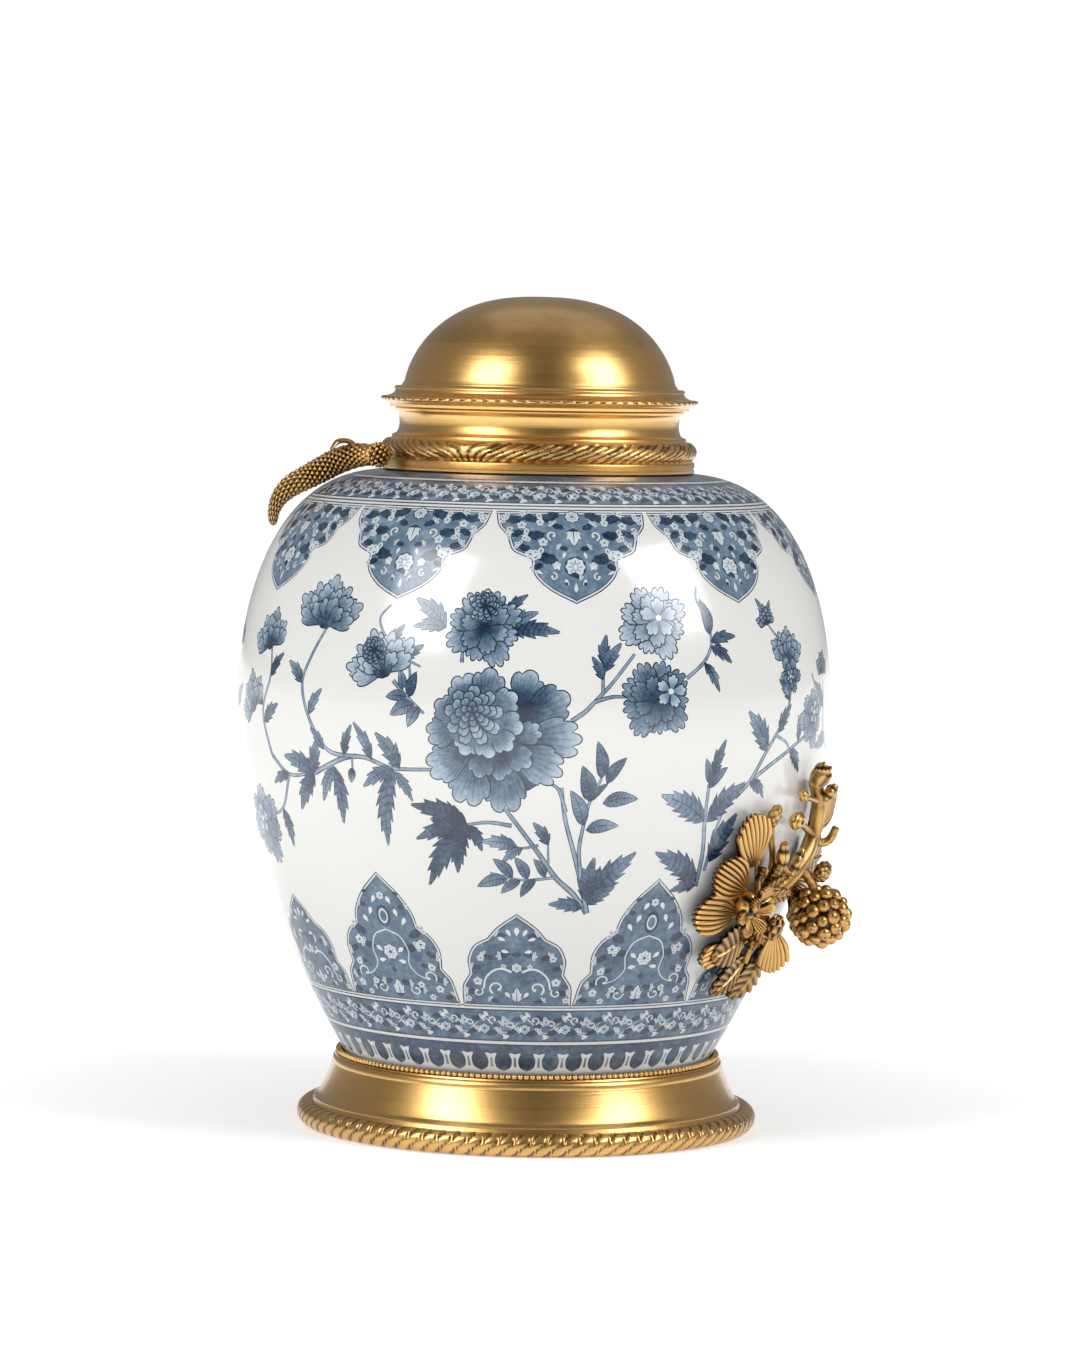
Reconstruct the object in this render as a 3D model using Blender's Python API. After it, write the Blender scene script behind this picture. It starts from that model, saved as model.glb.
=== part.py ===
"""Mantel urn: a covered porcelain jar in gilt bronze mounts.

Metres, +Z up, the front faces -Y. The origin is the centre of the underside.
Azimuths are in degrees from the front, growing towards +X.
"""

import math

import bmesh
import bpy
from mathutils import Matrix, Vector

# Fits
GAP = 0.0003
FLUSH = 0.00005

# Shading and directions
SHARP_ANGLE = 35.0
UP = Vector((0.0, 0.0, 1.0))
SIDEWAYS = Vector((1.0, 0.0, 0.0))
STEEP = 0.9
SKIN_STEP = 0.0005

# Porcelain jar
BELLY_RADIUS = 0.1374
BELLY_HEIGHT = 0.2020
SHOULDER_HEIGHT = 0.3043
SHOULDER_FLATNESS = 1.9
SHOULDER_ROUNDNESS = 0.356
TAPER_POWER = 1.9
NECK_RADIUS = 0.0600
NECK_LENGTH = 0.0278
JAR_WALL = 0.0050
FOOT_RADIUS = 0.0665
FOOT_RING_WIDTH = 0.0060
FOOT_RECESS = 0.0040
JAR_FLOOR = 0.0060
SHOULDER_STEPS = 8
TAPER_STEPS = 5
INSIDE_SHOULDER_STEPS = 5
INSIDE_TAPER_STEPS = 4
JAR_SIDES = 36

# Socle
SOCLE_FLOOR = 0.0040
SOCLE_WALL = 0.0035
SOCLE_RIM_HEIGHT = 0.0352
BEAD_RADIUS = 0.0013
SOCLE_LIP_REACH = 0.0043
SOCLE_LIP_TOP = 0.0305
SOCLE_LIP_BOTTOM = 0.0240
CAVETTO_REACH = 0.0078
CAVETTO_FOOT_HEIGHT = 0.0124
CAVETTO_STEPS = 3
ROPE_RADIUS = 0.0053
ROPE_REACH = 0.0031
ROPE_GROOVE = 0.0008
ROPE_LOBES = 92
ROPE_TWIST = 0.9
ROPE_TOP_ANGLE = 75.0
ROPE_SHOULDER_ANGLE = 26.0
SOCLE_SIDES = 46

# Neck collar, each reach counted out from the jar's neck
COLLAR_FOOT_REACH = 0.0122
COLLAR_FILLET_HEIGHT = 0.0045
COLLAR_WAIST_REACH = 0.0045
COLLAR_WAIST_RISE = 0.0213
COLLAR_LIP_REACH = 0.0072
COLLAR_SHELF_REACH = 0.0082
COLLAR_SHELF_RISE = 0.0141
COLLAR_HEIGHT = 0.0282
COLLAR_HOLLOW_SHARE = 0.25
WREATH_RADIUS = 0.0047
WREATH_CENTRE_REACH = 0.0085
WREATH_RISE = 0.0094
WREATH_GROOVE = 0.0006
WREATH_LEAVES = 50
WREATH_LEAN = 0.7
WREATH_SHOULDER_ANGLE = 32.0
WREATH_TIE_AZIMUTH = -27.0
WREATH_TIE_SHARPNESS = 8.0
COLLAR_SIDES = 32

# Lid, each reach counted out from the jar's neck
LID_HEIGHT = 0.0515
DOME_REACH = 0.0034
DOME_SPRING = 0.0054
DOME_RADIAL_POWER = 2.5
DOME_HEIGHT_POWER = 1.8
DOME_STEPS = 7
INSIDE_DOME_STEPS = 4
LID_WALL = 0.0025
LID_STEP_REACH = 0.0073
LID_STEP_TOP = 0.0099
LID_STEP_BOTTOM = 0.0083
LID_RIM_REACH = 0.0135
LID_RIM_TOP = 0.0045
LID_RIM_BOTTOM = 0.0031
LID_SEAT_REACH = 0.0090
SPIGOT_CLEARANCE = 0.0006
SPIGOT_WALL = 0.0025
SPIGOT_DEPTH = 0.0060
LID_SIDES = 32

# Scaled garland
GARLAND_THICKNESS = 0.0124
GARLAND_WIDTH = 0.0150
GARLAND_TIP = 0.45
GARLAND_SIDES = 10
GARLAND_SCALE_ROWS = 19
GARLAND_SCALE_DEPTH = 0.10
GARLAND_BOSS_RADIUS = 0.0062
GARLAND_ROOT_GIRTH = 0.68
GARLAND_SWELL_END = 0.9
GARLAND_SWELL_POWER = 0.8
GARLAND_TAPER_START = 0.7
GARLAND_TAPER_POWER = 1.5
# azimuth, way out as a share of the shoulder's width, height over the skin in thicknesses
GARLAND_ROUTE = (
    (-66.0, 0.120, 0.638),
    (-74.0, 0.222, 0.705),
    (-79.0, 0.330, 0.688),
    (-81.0, 0.429, 0.669),
    (-82.0, 0.529, 0.772),
    (-82.0, 0.644, 1.082),
    (-82.0, 0.729, 1.286),
    (-82.0, 0.770, 1.152),
    (-82.0, 0.775, 0.675),
)
GARLAND_LEAF_ROW = 3
GARLAND_LEAF_LENGTH = 0.0135
GARLAND_LEAF_WIDTH = 0.0080
GARLAND_LEAF_FLATNESS = 2.0
# reach out and rise in shares of the leaf's length, thickness in shares of its width
GARLAND_LEAF_CURL = (
    (0.00, 0.00, 0.175),
    (0.30, 0.45, 0.225),
    (0.75, 0.50, 0.210),
    (1.05, 0.20, 0.100),
)

# Fruiting vine mount
HUB_AZIMUTH = 54.0
HUB_DROP = 0.0890
HUB_RADIUS = 0.0065
HUB_DEPTH = 0.0049
SPRAY_UNIT = 0.001
SKIN_CLEARANCE = 0.0006
TWIG_SIDES = 5
LEAF_THICKNESS = 0.0016
LEAF_RIB_HEIGHT = 0.0013
LEAF_CAMBER = 0.0030
LEAF_RIBS = 3
LEAF_ROWS = 2
LEAF_ROOT_SPREAD = 0.22
LEAF_SPREAD_RATE = 1.15
LEAF_SIDE_DROP = 0.30
LEAF_RIB_REACH = 0.07
LEAF_CAMBER_END = 0.6
LEAF_ROOT_RIB = 0.4
BUD_DEPTH_SHARE = 0.9
BUD_SIDES = 6
BUD_RINGS = 4
BALL_SIDES = 8
BALL_RINGS = 5
BERRY_BALL_RADIUS = 0.0160
BERRY_HEIGHT = 0.0034
BERRY_BACK = -0.35
BERRY_SHOULDER_WIDTH = 0.62
BERRY_SHOULDER_RISE = 0.75

# Finishes
PORCELAIN_COLOUR = (0.74, 0.75, 0.75, 1.0)
GILT_COLOUR = (0.62, 0.42, 0.16, 1.0)
ANTIQUE_GILT_COLOUR = (0.50, 0.31, 0.09, 1.0)
PORCELAIN_ROUGHNESS = 0.12
GILT_ROUGHNESS = 0.28
ANTIQUE_GILT_ROUGHNESS = 0.35

# Places worked out from the sizes above
JAR_FOOT_HEIGHT = SOCLE_FLOOR + GAP
NECK_TOP = SHOULDER_HEIGHT + NECK_LENGTH
NECK_BORE_RADIUS = NECK_RADIUS - JAR_WALL
COLLAR_BASE = SHOULDER_HEIGHT + GAP
COLLAR_BORE_RADIUS = NECK_RADIUS + GAP
COLLAR_FOOT_RADIUS = NECK_RADIUS + COLLAR_FOOT_REACH
COLLAR_WAIST_RADIUS = NECK_RADIUS + COLLAR_WAIST_REACH
COLLAR_LIP_RADIUS = NECK_RADIUS + COLLAR_LIP_REACH
COLLAR_SHELF_RADIUS = NECK_RADIUS + COLLAR_SHELF_REACH
WREATH_CENTRE_RADIUS = NECK_RADIUS + WREATH_CENTRE_REACH
COLLAR_TOP = COLLAR_BASE + COLLAR_HEIGHT
LID_SEAT = COLLAR_TOP + GAP
DOME_RADIUS = NECK_RADIUS + DOME_REACH
LID_STEP_RADIUS = NECK_RADIUS + LID_STEP_REACH
LID_RIM_RADIUS = NECK_RADIUS + LID_RIM_REACH
LID_SEAT_RADIUS = NECK_RADIUS + LID_SEAT_REACH
HUB_HEIGHT = BELLY_HEIGHT - HUB_DROP


def clear_scene():
    """Remove every object of the scene."""
    for item in list(bpy.data.objects):
        bpy.data.objects.remove(item, do_unlink=True)


def finish(name, colour, roughness, metallic):
    """A Principled material."""
    material = bpy.data.materials.new(name)
    material.use_nodes = True
    shader = material.node_tree.nodes["Principled BSDF"]
    shader.inputs["Base Color"].default_value = colour
    shader.inputs["Roughness"].default_value = roughness
    shader.inputs["Metallic"].default_value = metallic
    material.diffuse_color = colour
    return material


def polar(azimuth, radius, height):
    """A point from its azimuth, radius and height."""
    angle = math.radians(azimuth)
    return Vector((radius * math.sin(angle), -radius * math.cos(angle), height))


def add_object(name, mesh_data, material):
    """Put a bmesh into the scene as one shaded object."""
    bmesh.ops.recalc_face_normals(mesh_data, faces=mesh_data.faces)
    mesh = bpy.data.meshes.new(name)
    mesh_data.to_mesh(mesh)
    mesh_data.free()
    mesh.materials.append(material)
    mesh.shade_smooth()
    mesh.set_sharp_from_angle(angle=math.radians(SHARP_ANGLE))
    item = bpy.data.objects.new(name, mesh)
    bpy.context.scene.collection.objects.link(item)
    return item


# Turned work

def plain_ring(radius, height, sides):
    """A round ring of (azimuth, radius, height) corners, or a pole where the radius is nothing."""
    if radius < FLUSH:
        return [(0.0, 0.0, height)]
    return [(360.0 * side / sides, radius, height) for side in range(sides)]


def moulded_ring(centre_radius, centre_height, thickness, groove, lobes, lift_angle, slide):
    """One ring on a lobed torus, at lift_angle round its section; slide(azimuth) leans the lobes."""
    ring = []
    for corner in range(2 * lobes):
        azimuth = 180.0 * corner / lobes
        depth = thickness - (groove if corner % 2 else 0.0)
        ring.append((
            azimuth + slide(azimuth),
            centre_radius + depth * math.cos(math.radians(lift_angle)),
            centre_height + depth * math.sin(math.radians(lift_angle)),
        ))
    return ring


def zip_rings(mesh, first, second):
    """Fill the strip between two rings of (azimuth, vertex), whatever their counts."""
    if len(first) == 1 and len(second) == 1:
        return
    if len(first) == 1 or len(second) == 1:
        pole, rim = (first, second) if len(first) == 1 else (second, first)
        for index, corner in enumerate(rim):
            mesh.faces.new((pole[0][1], corner[1], rim[(index + 1) % len(rim)][1]))
        return
    if len(first) == len(second):
        for index in range(len(first)):
            after = (index + 1) % len(first)
            mesh.faces.new((first[index][1], first[after][1], second[after][1], second[index][1]))
        return
    done_first = 0
    done_second = 0
    while done_first < len(first) or done_second < len(second):
        next_first = first[(done_first + 1) % len(first)][0]
        next_first += 360.0 * ((done_first + 1) // len(first))
        next_second = second[(done_second + 1) % len(second)][0]
        next_second += 360.0 * ((done_second + 1) // len(second))
        here_first = first[done_first % len(first)][1]
        here_second = second[done_second % len(second)][1]
        first_is_next = done_first < len(first) and next_first <= next_second
        if done_second >= len(second) or first_is_next:
            done_first += 1
            mesh.faces.new((here_first, first[done_first % len(first)][1], here_second))
        else:
            done_second += 1
            mesh.faces.new((here_first, second[done_second % len(second)][1], here_second))


def turned(name, rings, material):
    """A closed body from the rings of its section, in order round the section."""
    mesh = bmesh.new()
    placed = []
    for ring in rings:
        placed.append([(corner[0], mesh.verts.new(polar(*corner))) for corner in ring])
    for index, ring in enumerate(placed):
        zip_rings(mesh, ring, placed[(index + 1) % len(placed)])
    return add_object(name, mesh, material)


# Porcelain jar

def jar_radius(height):
    """The jar's outer radius at a height."""
    if height >= BELLY_HEIGHT:
        rise = min(1.0, (height - BELLY_HEIGHT) / (SHOULDER_HEIGHT - BELLY_HEIGHT))
        swell = (1.0 - rise ** SHOULDER_FLATNESS) ** SHOULDER_ROUNDNESS
        return NECK_RADIUS + (BELLY_RADIUS - NECK_RADIUS) * swell
    drop = min(1.0, (BELLY_HEIGHT - height) / (BELLY_HEIGHT - JAR_FOOT_HEIGHT))
    return BELLY_RADIUS - (BELLY_RADIUS - FOOT_RADIUS) * drop ** TAPER_POWER


def shoulder_height(radius):
    """The height of the jar's shoulder at a radius between the neck and the belly."""
    swell = (radius - NECK_RADIUS) / (BELLY_RADIUS - NECK_RADIUS)
    rise = (1.0 - swell ** (1.0 / SHOULDER_ROUNDNESS)) ** (1.0 / SHOULDER_FLATNESS)
    return BELLY_HEIGHT + (SHOULDER_HEIGHT - BELLY_HEIGHT) * rise


def jar_skin(shoulder_steps, taper_steps):
    """The outer section from the neck's root down to the foot, as (radius, height)."""
    skin = []
    for step in range(shoulder_steps):
        turn = math.radians(90.0 * (1.0 - step / shoulder_steps))
        rise = math.sin(turn) ** (2.0 / SHOULDER_FLATNESS)
        swell = max(0.0, math.cos(turn)) ** (2.0 * SHOULDER_ROUNDNESS)
        height = BELLY_HEIGHT + (SHOULDER_HEIGHT - BELLY_HEIGHT) * rise
        skin.append((NECK_RADIUS + (BELLY_RADIUS - NECK_RADIUS) * swell, height))
    for step in range(taper_steps + 1):
        height = BELLY_HEIGHT + (JAR_FOOT_HEIGHT - BELLY_HEIGHT) * step / taper_steps
        skin.append((jar_radius(height), height))
    return skin


def inset_section(section, depth):
    """The section moved in by depth, square to itself; it runs down the outer side."""
    inner = []
    for index, (radius, height) in enumerate(section):
        before = section[max(0, index - 1)]
        after = section[min(len(section) - 1, index + 1)]
        run = Vector((after[0] - before[0], after[1] - before[1])).normalized()
        inner.append((radius + run.y * depth, height - run.x * depth))
    return inner


def build_jar(material):
    """The hollow jar with its neck and foot ring."""
    skin = jar_skin(SHOULDER_STEPS, TAPER_STEPS)
    floor_height = JAR_FOOT_HEIGHT + FOOT_RECESS + JAR_FLOOR
    inner = [
        corner for corner in inset_section(jar_skin(INSIDE_SHOULDER_STEPS, INSIDE_TAPER_STEPS), JAR_WALL)
        if corner[0] > NECK_BORE_RADIUS + JAR_WALL / 2 and corner[1] > floor_height + JAR_WALL
    ]
    foot_inner = FOOT_RADIUS - FOOT_RING_WIDTH
    section = [(NECK_RADIUS, NECK_TOP)]
    section += skin
    section += [
        (foot_inner, JAR_FOOT_HEIGHT),
        (foot_inner - FOOT_RECESS / 2, JAR_FOOT_HEIGHT + FOOT_RECESS),
        (0.0, JAR_FOOT_HEIGHT + FOOT_RECESS),
        (0.0, floor_height),
        (jar_radius(floor_height) - 2 * JAR_WALL, floor_height),
    ]
    section += reversed(inner)
    section += [
        (NECK_BORE_RADIUS, SHOULDER_HEIGHT - JAR_WALL),
        (NECK_BORE_RADIUS, NECK_TOP),
    ]
    rings = [plain_ring(radius, height, JAR_SIDES) for radius, height in section]
    return turned("porcelain_jar", rings, material)


# Socle

def build_socle(material):
    """The hollow foot with its beaded rim, cavetto and rope moulding."""
    rim_inner = jar_radius(SOCLE_RIM_HEIGHT) + GAP
    lip_radius = rim_inner + SOCLE_LIP_REACH
    cavetto_foot = lip_radius + CAVETTO_REACH
    rope_centre = cavetto_foot + ROPE_REACH
    inside_foot = cavetto_foot - SOCLE_WALL
    section = [
        (0.0, SOCLE_FLOOR),
        (inside_foot, SOCLE_FLOOR),
        (inside_foot - SOCLE_WALL, CAVETTO_FOOT_HEIGHT),
        (rim_inner, SOCLE_LIP_BOTTOM),
        (rim_inner, SOCLE_RIM_HEIGHT - BEAD_RADIUS),
        (rim_inner + BEAD_RADIUS, SOCLE_RIM_HEIGHT),
        (rim_inner + 2 * BEAD_RADIUS, SOCLE_RIM_HEIGHT - BEAD_RADIUS),
        (lip_radius - BEAD_RADIUS, SOCLE_LIP_TOP + BEAD_RADIUS),
        (lip_radius, SOCLE_LIP_TOP - BEAD_RADIUS),
    ]
    for step in range(CAVETTO_STEPS + 1):
        turn = math.radians(90.0 * step / CAVETTO_STEPS)
        section.append((
            cavetto_foot - CAVETTO_REACH * math.cos(turn),
            CAVETTO_FOOT_HEIGHT + (SOCLE_LIP_BOTTOM - CAVETTO_FOOT_HEIGHT) * (1.0 - math.sin(turn)),
        ))
    rings = [plain_ring(radius, height, SOCLE_SIDES) for radius, height in section]
    half_lobe = 180.0 / ROPE_LOBES
    rings.append(plain_ring(
        rope_centre + ROPE_RADIUS * math.cos(math.radians(ROPE_TOP_ANGLE)),
        ROPE_RADIUS * (1.0 + math.sin(math.radians(ROPE_TOP_ANGLE))),
        SOCLE_SIDES,
    ))
    for lift_angle in (ROPE_SHOULDER_ANGLE, -ROPE_SHOULDER_ANGLE):
        lean = -ROPE_TWIST * half_lobe * (1.0 - lift_angle / ROPE_SHOULDER_ANGLE)
        rings.append(moulded_ring(
            rope_centre, ROPE_RADIUS, ROPE_RADIUS / math.cos(math.radians(lift_angle)),
            ROPE_GROOVE, ROPE_LOBES, lift_angle, lambda azimuth: lean,
        ))
    rings.append(plain_ring(rope_centre, 0.0, SOCLE_SIDES))
    rings.append(plain_ring(0.0, 0.0, SOCLE_SIDES))
    return turned("base_socle", rings, material)


# Neck collar

def wreath_lean(azimuth):
    """Which way the wreath's leaves lean: they part at the tie and meet opposite it."""
    turn = math.sin(math.radians(azimuth - WREATH_TIE_AZIMUTH))
    return max(-1.0, min(1.0, WREATH_TIE_SHARPNESS * turn))


def build_collar(material):
    """The collar: a plain fillet, the leaf wreath and a hollow neck that flares to the lid."""
    wreath_height = COLLAR_BASE + WREATH_RISE
    shelf_height = COLLAR_BASE + COLLAR_SHELF_RISE
    waist_height = COLLAR_BASE + COLLAR_WAIST_RISE
    above_waist = waist_height + (1.0 - COLLAR_HOLLOW_SHARE) * (COLLAR_TOP - waist_height)
    below_waist = shelf_height + COLLAR_HOLLOW_SHARE * (waist_height - shelf_height)
    rings = []
    for radius, height in (
        (COLLAR_BORE_RADIUS, COLLAR_TOP),
        (COLLAR_LIP_RADIUS, COLLAR_TOP),
        ((COLLAR_LIP_RADIUS + COLLAR_WAIST_RADIUS) / 2, above_waist),
        (COLLAR_WAIST_RADIUS, waist_height),
        ((COLLAR_WAIST_RADIUS + COLLAR_SHELF_RADIUS) / 2, below_waist),
        (COLLAR_SHELF_RADIUS, shelf_height),
    ):
        rings.append(plain_ring(radius, height, COLLAR_SIDES))
    half_leaf = 180.0 / WREATH_LEAVES
    reach = WREATH_RADIUS / math.cos(math.radians(WREATH_SHOULDER_ANGLE))
    for side in (1, -1):
        rings.append(moulded_ring(
            WREATH_CENTRE_RADIUS, wreath_height, reach, WREATH_GROOVE, WREATH_LEAVES,
            side * WREATH_SHOULDER_ANGLE,
            lambda azimuth: WREATH_LEAN * half_leaf * side * wreath_lean(azimuth),
        ))
    for radius, height in (
        (COLLAR_FOOT_RADIUS, COLLAR_BASE + COLLAR_FILLET_HEIGHT),
        (COLLAR_FOOT_RADIUS, COLLAR_BASE),
        (COLLAR_BORE_RADIUS, COLLAR_BASE),
    ):
        rings.append(plain_ring(radius, height, COLLAR_SIDES))
    return turned("neck_collar", rings, material)


# Lid

def dome_section(radius, spring, apex, steps):
    """The dome's section from its apex down to its spring line."""
    section = []
    for step in range(steps + 1):
        turn = math.radians(90.0 * step / steps)
        section.append((
            radius * math.sin(turn) ** (2.0 / DOME_RADIAL_POWER),
            spring + (apex - spring) * max(0.0, math.cos(turn)) ** (2.0 / DOME_HEIGHT_POWER),
        ))
    return section


def build_lid(material):
    """The hollow domed lid, its moulded rim and the spigot that drops into the neck."""
    apex = LID_SEAT + LID_HEIGHT
    spring = LID_SEAT + DOME_SPRING
    outer = [corner for corner in dome_section(DOME_RADIUS, spring, apex, DOME_STEPS)
             if corner[1] > LID_SEAT + LID_STEP_TOP]
    spigot_radius = NECK_BORE_RADIUS - SPIGOT_CLEARANCE
    inner = dome_section(DOME_RADIUS - LID_WALL, spring, apex - LID_WALL, INSIDE_DOME_STEPS)
    section = outer + [
        (DOME_RADIUS, LID_SEAT + LID_STEP_TOP),
        (LID_STEP_RADIUS, LID_SEAT + LID_STEP_TOP),
        (LID_STEP_RADIUS, LID_SEAT + LID_STEP_BOTTOM),
        ((LID_STEP_RADIUS + LID_RIM_RADIUS) / 2, LID_SEAT + (LID_STEP_BOTTOM + 2 * LID_RIM_TOP) / 3),
        (LID_RIM_RADIUS, LID_SEAT + LID_RIM_TOP),
        (LID_RIM_RADIUS, LID_SEAT + LID_RIM_BOTTOM),
        (LID_SEAT_RADIUS, LID_SEAT + LID_RIM_BOTTOM / 3),
        (LID_SEAT_RADIUS, LID_SEAT),
        (spigot_radius, LID_SEAT),
        (spigot_radius, LID_SEAT - SPIGOT_DEPTH),
        (spigot_radius - SPIGOT_WALL, LID_SEAT - SPIGOT_DEPTH),
        (spigot_radius - SPIGOT_WALL, LID_SEAT + LID_WALL),
    ]
    section += reversed(inner)
    rings = [plain_ring(radius, height, LID_SIDES) for radius, height in section]
    return turned("lid", rings, material)


# Free forms for the cast mounts

def smooth_route(points, samples):
    """Samples of a smooth curve through the points."""
    route = []
    for index in range(samples):
        place = index * (len(points) - 1) / (samples - 1)
        start = min(int(place), len(points) - 2)
        share = place - start
        before = points[max(start - 1, 0)]
        after = points[min(start + 2, len(points) - 1)]
        first = points[start]
        second = points[start + 1]
        route.append(0.5 * (
            2 * first
            + (second - before) * share
            + (2 * before - 5 * first + 4 * second - after) * share ** 2
            + (3 * first - before - 3 * second + after) * share ** 3
        ))
    return route


def tube(route, radii, sides, flat=1.0, side_axis=None, relief=0.0):
    """A closed tube; flat widens it along side_axis, relief sinks every other corner like scales."""
    mesh = bmesh.new()
    rings = []
    for index, centre in enumerate(route):
        ahead = (route[min(index + 1, len(route) - 1)] - route[max(index - 1, 0)]).normalized()
        hint = side_axis
        if hint is None:
            hint = UP if abs(ahead.z) < STEEP else SIDEWAYS
        across = (hint - ahead * hint.dot(ahead)).normalized()
        over = ahead.cross(across)
        ring = []
        for side in range(sides):
            angle = 2 * math.pi * side / sides
            sunk = 1.0 - (relief if (side + index) % 2 else 0.0)
            reach = across * (flat * math.cos(angle)) + over * math.sin(angle)
            ring.append(mesh.verts.new(centre + reach * radii[index] * sunk))
        rings.append(ring)
    for ring, following in zip(rings, rings[1:]):
        for side in range(sides):
            after = (side + 1) % sides
            mesh.faces.new((ring[side], ring[after], following[after], following[side]))
    for ring in (rings[0], rings[-1]):
        cap = mesh.verts.new(sum((corner.co for corner in ring), Vector()) / sides)
        for side in range(sides):
            mesh.faces.new((cap, ring[side], ring[(side + 1) % sides]))
    return mesh


def ball(frame, size, sides, rings):
    """A round form of the given half sizes, in the frame's axes."""
    mesh = bmesh.new()
    bmesh.ops.create_uvsphere(mesh, u_segments=sides, v_segments=rings, radius=1.0)
    bmesh.ops.transform(mesh, matrix=frame @ Matrix.Diagonal((*size, 1.0)), verts=mesh.verts)
    return mesh


def berry_ball(centre, radius, height, outward):
    """A head of close berries: a geodesic ball with a knob on each of its main corners."""
    crests = bmesh.new()
    bmesh.ops.create_icosphere(crests, subdivisions=2, radius=radius)
    tops = [corner.co.copy() for corner in crests.verts]
    crests.free()
    mesh = bmesh.new()
    bmesh.ops.create_icosphere(mesh, subdivisions=3, radius=radius)
    knobs = [corner for corner in mesh.verts if min((corner.co - top).length for top in tops) < FLUSH]
    for corner in mesh.verts:
        corner.co *= 1.0 - height / radius
    for knob in knobs:
        if knob.co.normalized().dot(outward) < BERRY_BACK:
            continue
        middle = knob.co.copy()
        bmesh.ops.inset_region(mesh, faces=knob.link_faces, thickness=0.0, use_even_offset=False)
        for edge in knob.link_edges:
            shoulder = edge.other_vert(knob)
            shoulder.co = middle + (shoulder.co - middle) * BERRY_SHOULDER_WIDTH
            shoulder.co += middle.normalized() * height * BERRY_SHOULDER_RISE
        knob.co = middle.normalized() * radius
    for corner in mesh.verts:
        corner.co += centre
    return mesh


def fuse(name, forms, material):
    """One body: the union of forms that run into each other."""
    first = add_object(name, forms[0], material)
    others = bpy.data.collections.new(name + "_forms")
    guides = []
    for index, form in enumerate(forms[1:]):
        guide = add_object(f"{name}_form_{index}", form, material)
        bpy.context.scene.collection.objects.unlink(guide)
        others.objects.link(guide)
        guides.append(guide)
    bpy.context.scene.collection.children.link(others)
    union = first.modifiers.new("union", "BOOLEAN")
    union.operation = "UNION"
    union.solver = "EXACT"
    union.operand_type = "COLLECTION"
    union.collection = others
    depsgraph = bpy.context.evaluated_depsgraph_get()
    whole = bpy.data.meshes.new_from_object(first.evaluated_get(depsgraph))
    first.modifiers.clear()
    first.data = whole
    for guide in guides:
        bpy.data.objects.remove(guide, do_unlink=True)
    bpy.data.collections.remove(others)
    return first


# Scaled garland

def build_garland(material):
    """The scaled garland from the collar's wreath over the left shoulder to the porcelain."""
    points = []
    for azimuth, way_out, lift in GARLAND_ROUTE:
        radius = COLLAR_FOOT_RADIUS + way_out * (BELLY_RADIUS - COLLAR_FOOT_RADIUS)
        points.append(polar(azimuth, radius, shoulder_height(radius) + lift * GARLAND_THICKNESS))
    route = smooth_route(points, GARLAND_SCALE_ROWS)
    radii = []
    for index in range(GARLAND_SCALE_ROWS):
        share = index / (GARLAND_SCALE_ROWS - 1)
        swell = math.sin(math.pi * min(1.0, share / GARLAND_SWELL_END) ** GARLAND_SWELL_POWER)
        girth = GARLAND_ROOT_GIRTH + (1.0 - GARLAND_ROOT_GIRTH) * swell
        taper = max(0.0, (share - GARLAND_TAPER_START) / (1.0 - GARLAND_TAPER_START))
        girth *= 1.0 - (1.0 - GARLAND_TIP) * taper ** GARLAND_TAPER_POWER
        radii.append(GARLAND_THICKNESS / 2 * girth)
    side_axis = polar(GARLAND_ROUTE[-1][0] + 90.0, 1.0, 0.0)
    width = GARLAND_WIDTH / GARLAND_THICKNESS
    band = tube(route, radii, GARLAND_SIDES, width, side_axis, GARLAND_SCALE_DEPTH)
    boss = ball(Matrix.Translation(points[0]), [GARLAND_BOSS_RADIUS] * 3, BALL_SIDES, BALL_RINGS)
    out = polar(GARLAND_ROUTE[1][0], GARLAND_LEAF_LENGTH, 0.0)
    rise = UP * GARLAND_LEAF_LENGTH
    curl = [
        route[GARLAND_LEAF_ROW] + out * out_share + rise * rise_share
        for out_share, rise_share, _ in GARLAND_LEAF_CURL
    ]
    leaf_radii = [GARLAND_LEAF_WIDTH * thickness for _, _, thickness in GARLAND_LEAF_CURL]
    leaf = tube(curl, leaf_radii, TWIG_SIDES, GARLAND_LEAF_FLATNESS, side_axis)
    return fuse("scaled_garland", [band, boss, leaf], material)


# Fruiting vine mount

def skin_slope(height):
    """How fast the jar's radius grows with the height."""
    return (jar_radius(height + SKIN_STEP) - jar_radius(height - SKIN_STEP)) / (2 * SKIN_STEP)


def skin_point(azimuth, height, right=0.0, up=0.0, lift=0.0):
    """A point over the jar's skin, moved along the skin from a place on it and lifted off it."""
    height = height + up / math.hypot(1.0, skin_slope(height))
    slope = skin_slope(height)
    radius = jar_radius(height)
    azimuth = azimuth + math.degrees(right / radius)
    normal_out = 1.0 / math.hypot(1.0, slope)
    return polar(azimuth, radius + lift * normal_out, height - lift * slope * normal_out)


def skin_frame(azimuth, height, lift, turn=0.0, tip=0.0):
    """Axes over the jar's skin: X right, Y up, Z out; turn is clockwise, tip leans Y outwards."""
    here = skin_point(azimuth, height, lift=lift)
    right = (skin_point(azimuth, height, right=SKIN_STEP, lift=lift) - here).normalized()
    up = (skin_point(azimuth, height, up=SKIN_STEP, lift=lift) - here).normalized()
    out = right.cross(up)
    axes = Matrix((right, up, out)).transposed().to_4x4()
    spin = Matrix.Rotation(math.radians(-turn), 4, "Z") @ Matrix.Rotation(math.radians(tip), 4, "X")
    return Matrix.Translation(here) @ axes @ spin


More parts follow.
